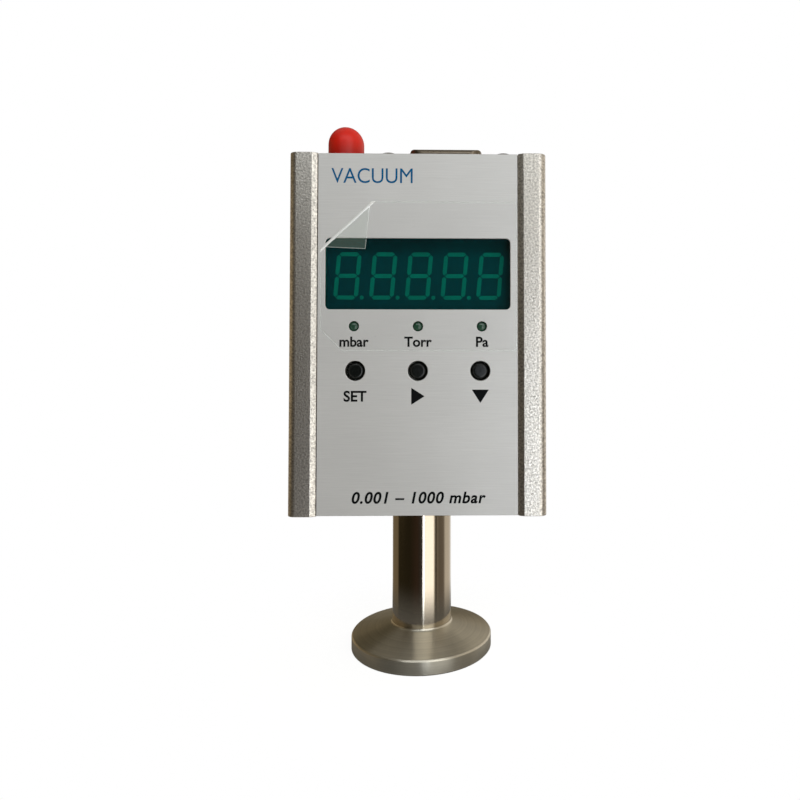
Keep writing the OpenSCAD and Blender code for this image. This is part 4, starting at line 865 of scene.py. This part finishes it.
class GAUGE_OT_stage(bpy.types.Operator):
    """Sets up the camera, the pale floor, the lamps and the surroundings"""

    bl_idname = "gauge.stage"
    bl_label = "Stage"

    def execute(self, context):
        scene, stage = context.scene, context.scene.gauge_stage
        scene.view_settings.view_transform = "Standard"
        deselect()
        bpy.ops.object.camera_add(location=stage.camera_place, rotation=stage.camera_turn)
        camera = context.object
        camera.data.lens = stage.lens
        camera.data.sensor_width = 36
        camera.data.shift_x, camera.data.shift_y = stage.camera_shift
        camera.data.clip_start = 5 * MM
        scene.camera = camera
        self.lay_floor(stage)
        self.hang_lamps(stage)
        self.surround(scene)
        return {"FINISHED"}

    def lay_floor(self, stage):
        """A matt, pale floor, which keeps the object's shadow and passes into the white farther out."""
        deselect()
        bpy.ops.mesh.primitive_plane_add(size=1)
        floor = bpy.context.object
        floor.name = "floor"
        floor.scale = (0.4, 0.4, 1)
        settle(floor)
        material, tree, place = blank("matt floor paper")
        fibre = add(tree, "ShaderNodeTexNoise", {"Vector": place, "Scale": per_mm(1.5), "Detail": 3.0})
        paper = add(tree, "ShaderNodeBsdfDiffuse", {
            "Color": varied(tree, stage.floor, fibre.outputs["Fac"], 0.985, 1.0)})
        path = add(tree, "ShaderNodeLightPath")
        seen = add(tree, "ShaderNodeMath", {
            0: path.outputs["Is Camera Ray"], 1: path.outputs["Is Transmission Ray"]}, operation="MAXIMUM")
        shown = add(tree, "ShaderNodeMath", {
            0: path.outputs["Is Glossy Ray"], 1: 0.06, 2: seen.outputs[0]}, operation="MULTIPLY_ADD")
        away = add(tree, "ShaderNodeVectorMath", {0: place}, operation="LENGTH")
        lift = add(tree, "ShaderNodeMath", {0: shown.outputs[0], 1: 0.93}, operation="MULTIPLY")
        glow = add(tree, "ShaderNodeEmission", {"Color": (1, 1, 1), "Strength": lift.outputs[0]})
        sheet = add(tree, "ShaderNodeAddShader", {0: paper.outputs[0], 1: glow.outputs[0]})
        clear = add(tree, "ShaderNodeBsdfTransparent")
        fade = add(tree, "ShaderNodeMapRange", {
            "Value": away.outputs["Value"], "From Min": 16 * MM, "From Max": 50 * MM},
            interpolation_type="SMOOTHSTEP")
        surface = add(tree, "ShaderNodeMixShader", {
            0: fade.outputs[0], 1: sheet.outputs[0], 2: clear.outputs[0]})
        floor.data.materials.append(dressed(material, surface.outputs[0]))

    def hang_lamps(self, stage):
        """A tall soft lamp at the right, a narrow one that the right rail mirrors, a wide one in front."""
        aim = Vector((0, 0, 60 * MM))
        for name, place, size, power, colour in (
                ("window lamp", (0.268, -0.47, 0.02), (0.395, 0.62), stage.window_power, "#fbfdff"),
                ("window edge", (0.09, -0.53, -0.06), (0.05, 0.34), stage.edge_power, "#ecf4ff"),
                ("front lamp", (0.06, -0.52, 0.48), (0.8, 0.2), stage.front_power, "#f6fbff")):
            deselect()
            bpy.ops.object.light_add(type="AREA", location=place)
            lamp = bpy.context.object
            lamp.name = name
            lamp.rotation_euler = (aim - Vector(place)).to_track_quat("-Z", "Y").to_euler()
            lamp.data.shape = "RECTANGLE"
            lamp.data.size, lamp.data.size_y = size
            lamp.data.energy = power
            lamp.data.color = linear(colour)

    def surround(self, scene):
        """Surroundings: a white backdrop behind, a darker room in front and at the left, a pale ceiling."""
        world = bpy.data.worlds.new("studio")
        scene.world = world
        world.use_nodes = True
        tree = world.node_tree
        tree.nodes.clear()
        way = add(tree, "ShaderNodeTexCoord").outputs["Generated"]
        apart = add(tree, "ShaderNodeSeparateXYZ", {"Vector": way})
        back = add(tree, "ShaderNodeMath", {0: apart.outputs["Y"], 1: -1.0}, operation="MULTIPLY")
        turn = add(tree, "ShaderNodeMath", {0: apart.outputs["X"], 1: back.outputs[0]}, operation="ARCTAN2")
        share = add(tree, "ShaderNodeMapRange", {
            "Value": turn.outputs[0], "From Min": -math.pi, "From Max": math.pi})
        # Round the room from behind, past the left, the front and the right, and back: first what lies
        # below the eye, which the tube mirrors, then what lies level with it, which the rails mirror
        bands = []
        for stops in (
                ((0.0, "#ffffff"), (0.06, "#ffffff"), (0.08, "#7d6e57"), (0.21, "#786a53"),
                 (0.23, "#2e281a"), (0.38, "#2a2418"), (0.46, "#382a20"), (0.5, "#322c26"),
                 (0.53, "#3a342c"), (0.545, "#fff6e8"), (0.645, "#fff6e8"), (0.655, "#544d42"),
                 (0.675, "#544d42"), (0.685, "#8a8072"), (0.7, "#6b6256"), (0.77, "#766c60"),
                 (0.8, "#d8d0c4"), (0.9, "#d8d0c4"), (0.92, "#ffffff"), (1.0, "#ffffff")),
                ((0.0, "#6f6450"), (0.06, "#6f6450"), (0.08, "#b09c7c"), (0.3, "#9a8768"),
                 (0.34, "#332c22"), (0.46, "#352b1e"), (0.515, "#30271c"), (0.53, "#aeaba5"),
                 (0.585, "#aeaba5"), (0.6, "#9d9b96"), (0.645, "#9d9b96"), (0.66, "#8a8072"),
                 (0.75, "#b5aa9a"), (0.79, "#f5efe6"), (0.92, "#f0e9de"), (0.96, "#b8ad9b"),
                 (1.0, "#6f6450"))):
            walls = add(tree, "ShaderNodeValToRGB", {"Fac": share.outputs[0]})
            ramp = walls.color_ramp
            for place, _ in stops[1:-1]:
                ramp.elements.new(place)
            for element, (place, code) in zip(ramp.elements, stops):
                element.position = place
                element.color = (*linear(code), 1)
            bands.append(walls.outputs["Color"])
        eye = add(tree, "ShaderNodeMapRange", {
            "Value": apart.outputs["Z"], "From Min": -0.2, "From Max": -0.12})
        walls = add(tree, "ShaderNodeMix", {0: eye.outputs[0], 6: bands[0], 7: bands[1]}, data_type="RGBA")
        sides = add(tree, "ShaderNodeMapRange", {
            "Value": apart.outputs["X"], "From Min": 0.1, "From Max": 0.5})
        above = add(tree, "ShaderNodeMix", {
            0: sides.outputs[0], 6: (*linear("#4f493b"), 1), 7: (*linear("#ded6c8"), 1)}, data_type="RGBA")
        zenith = add(tree, "ShaderNodeMapRange", {
            "Value": apart.outputs["Z"], "From Min": 0.66, "From Max": 0.86})
        above = add(tree, "ShaderNodeMix", {
            0: zenith.outputs[0], 6: above.outputs[2], 7: (*linear("#b4b1ab"), 1)}, data_type="RGBA")
        ceiling = add(tree, "ShaderNodeMapRange", {
            "Value": apart.outputs["Z"], "From Min": 0.22, "From Max": 0.34})
        upper = add(tree, "ShaderNodeMix", {
            0: ceiling.outputs[0], 6: walls.outputs[2], 7: above.outputs[2]}, data_type="RGBA")
        ground = add(tree, "ShaderNodeMapRange", {
            "Value": apart.outputs["Z"], "From Min": -0.42, "From Max": -0.6})
        room = add(tree, "ShaderNodeMix", {
            0: ground.outputs[0], 6: upper.outputs[2], 7: (*linear("#b9b5ae"), 1)}, data_type="RGBA")
        path = add(tree, "ShaderNodeLightPath")
        shown = add(tree, "ShaderNodeMath", {
            0: path.outputs["Is Camera Ray"], 1: path.outputs["Is Transmission Ray"]}, operation="MAXIMUM")
        colour = add(tree, "ShaderNodeMix", {
            0: shown.outputs[0], 6: room.outputs[2], 7: (1, 1, 1, 1)}, data_type="RGBA")
        light = add(tree, "ShaderNodeBackground", {"Color": colour.outputs[2], "Strength": 1.0})
        add(tree, "ShaderNodeOutputWorld", {"Surface": light.outputs[0]})


class GAUGE_PT_panel(bpy.types.Panel):
    """Lists the steps in the order in which they run"""

    bl_idname = "GAUGE_PT_panel"
    bl_label = "Vacuum gauge"
    bl_space_type = "VIEW_3D"
    bl_region_type = "UI"
    bl_category = "Gauge"

    def draw(self, context):
        for operator in OPERATORS:
            self.layout.operator(operator.bl_idname)
        for name in SETTINGS:
            box = self.layout.box()
            group = getattr(context.scene, name)
            for setting in group.__annotations__:
                box.prop(group, setting)


SETTINGS = {"gauge_colours": GaugeColours, "gauge_legends": GaugeLegends, "gauge_film": GaugeFilm,
            "gauge_stage": GaugeStage}
OPERATORS = (GAUGE_OT_housing, GAUGE_OT_faceplate, GAUGE_OT_legends, GAUGE_OT_display, GAUGE_OT_film,
             GAUGE_OT_connectors, GAUGE_OT_sensor, GAUGE_OT_electronics, GAUGE_OT_stage)
CLASSES = (*SETTINGS.values(), *OPERATORS, GAUGE_PT_panel)


def register():
    for cls in CLASSES:
        bpy.utils.register_class(cls)
    for name, group in SETTINGS.items():
        setattr(bpy.types.Scene, name, bpy.props.PointerProperty(type=group))


def unregister():
    for name in SETTINGS:
        delattr(bpy.types.Scene, name)
    for cls in reversed(CLASSES):
        bpy.utils.unregister_class(cls)


def main():
    register()
    bpy.ops.gauge.housing()
    bpy.ops.gauge.faceplate()
    bpy.ops.gauge.legends()
    bpy.ops.gauge.display()
    bpy.ops.gauge.film()
    bpy.ops.gauge.connectors()
    bpy.ops.gauge.sensor()
    bpy.ops.gauge.electronics()
    bpy.ops.gauge.stage()


if __name__ == "__main__":
    main()
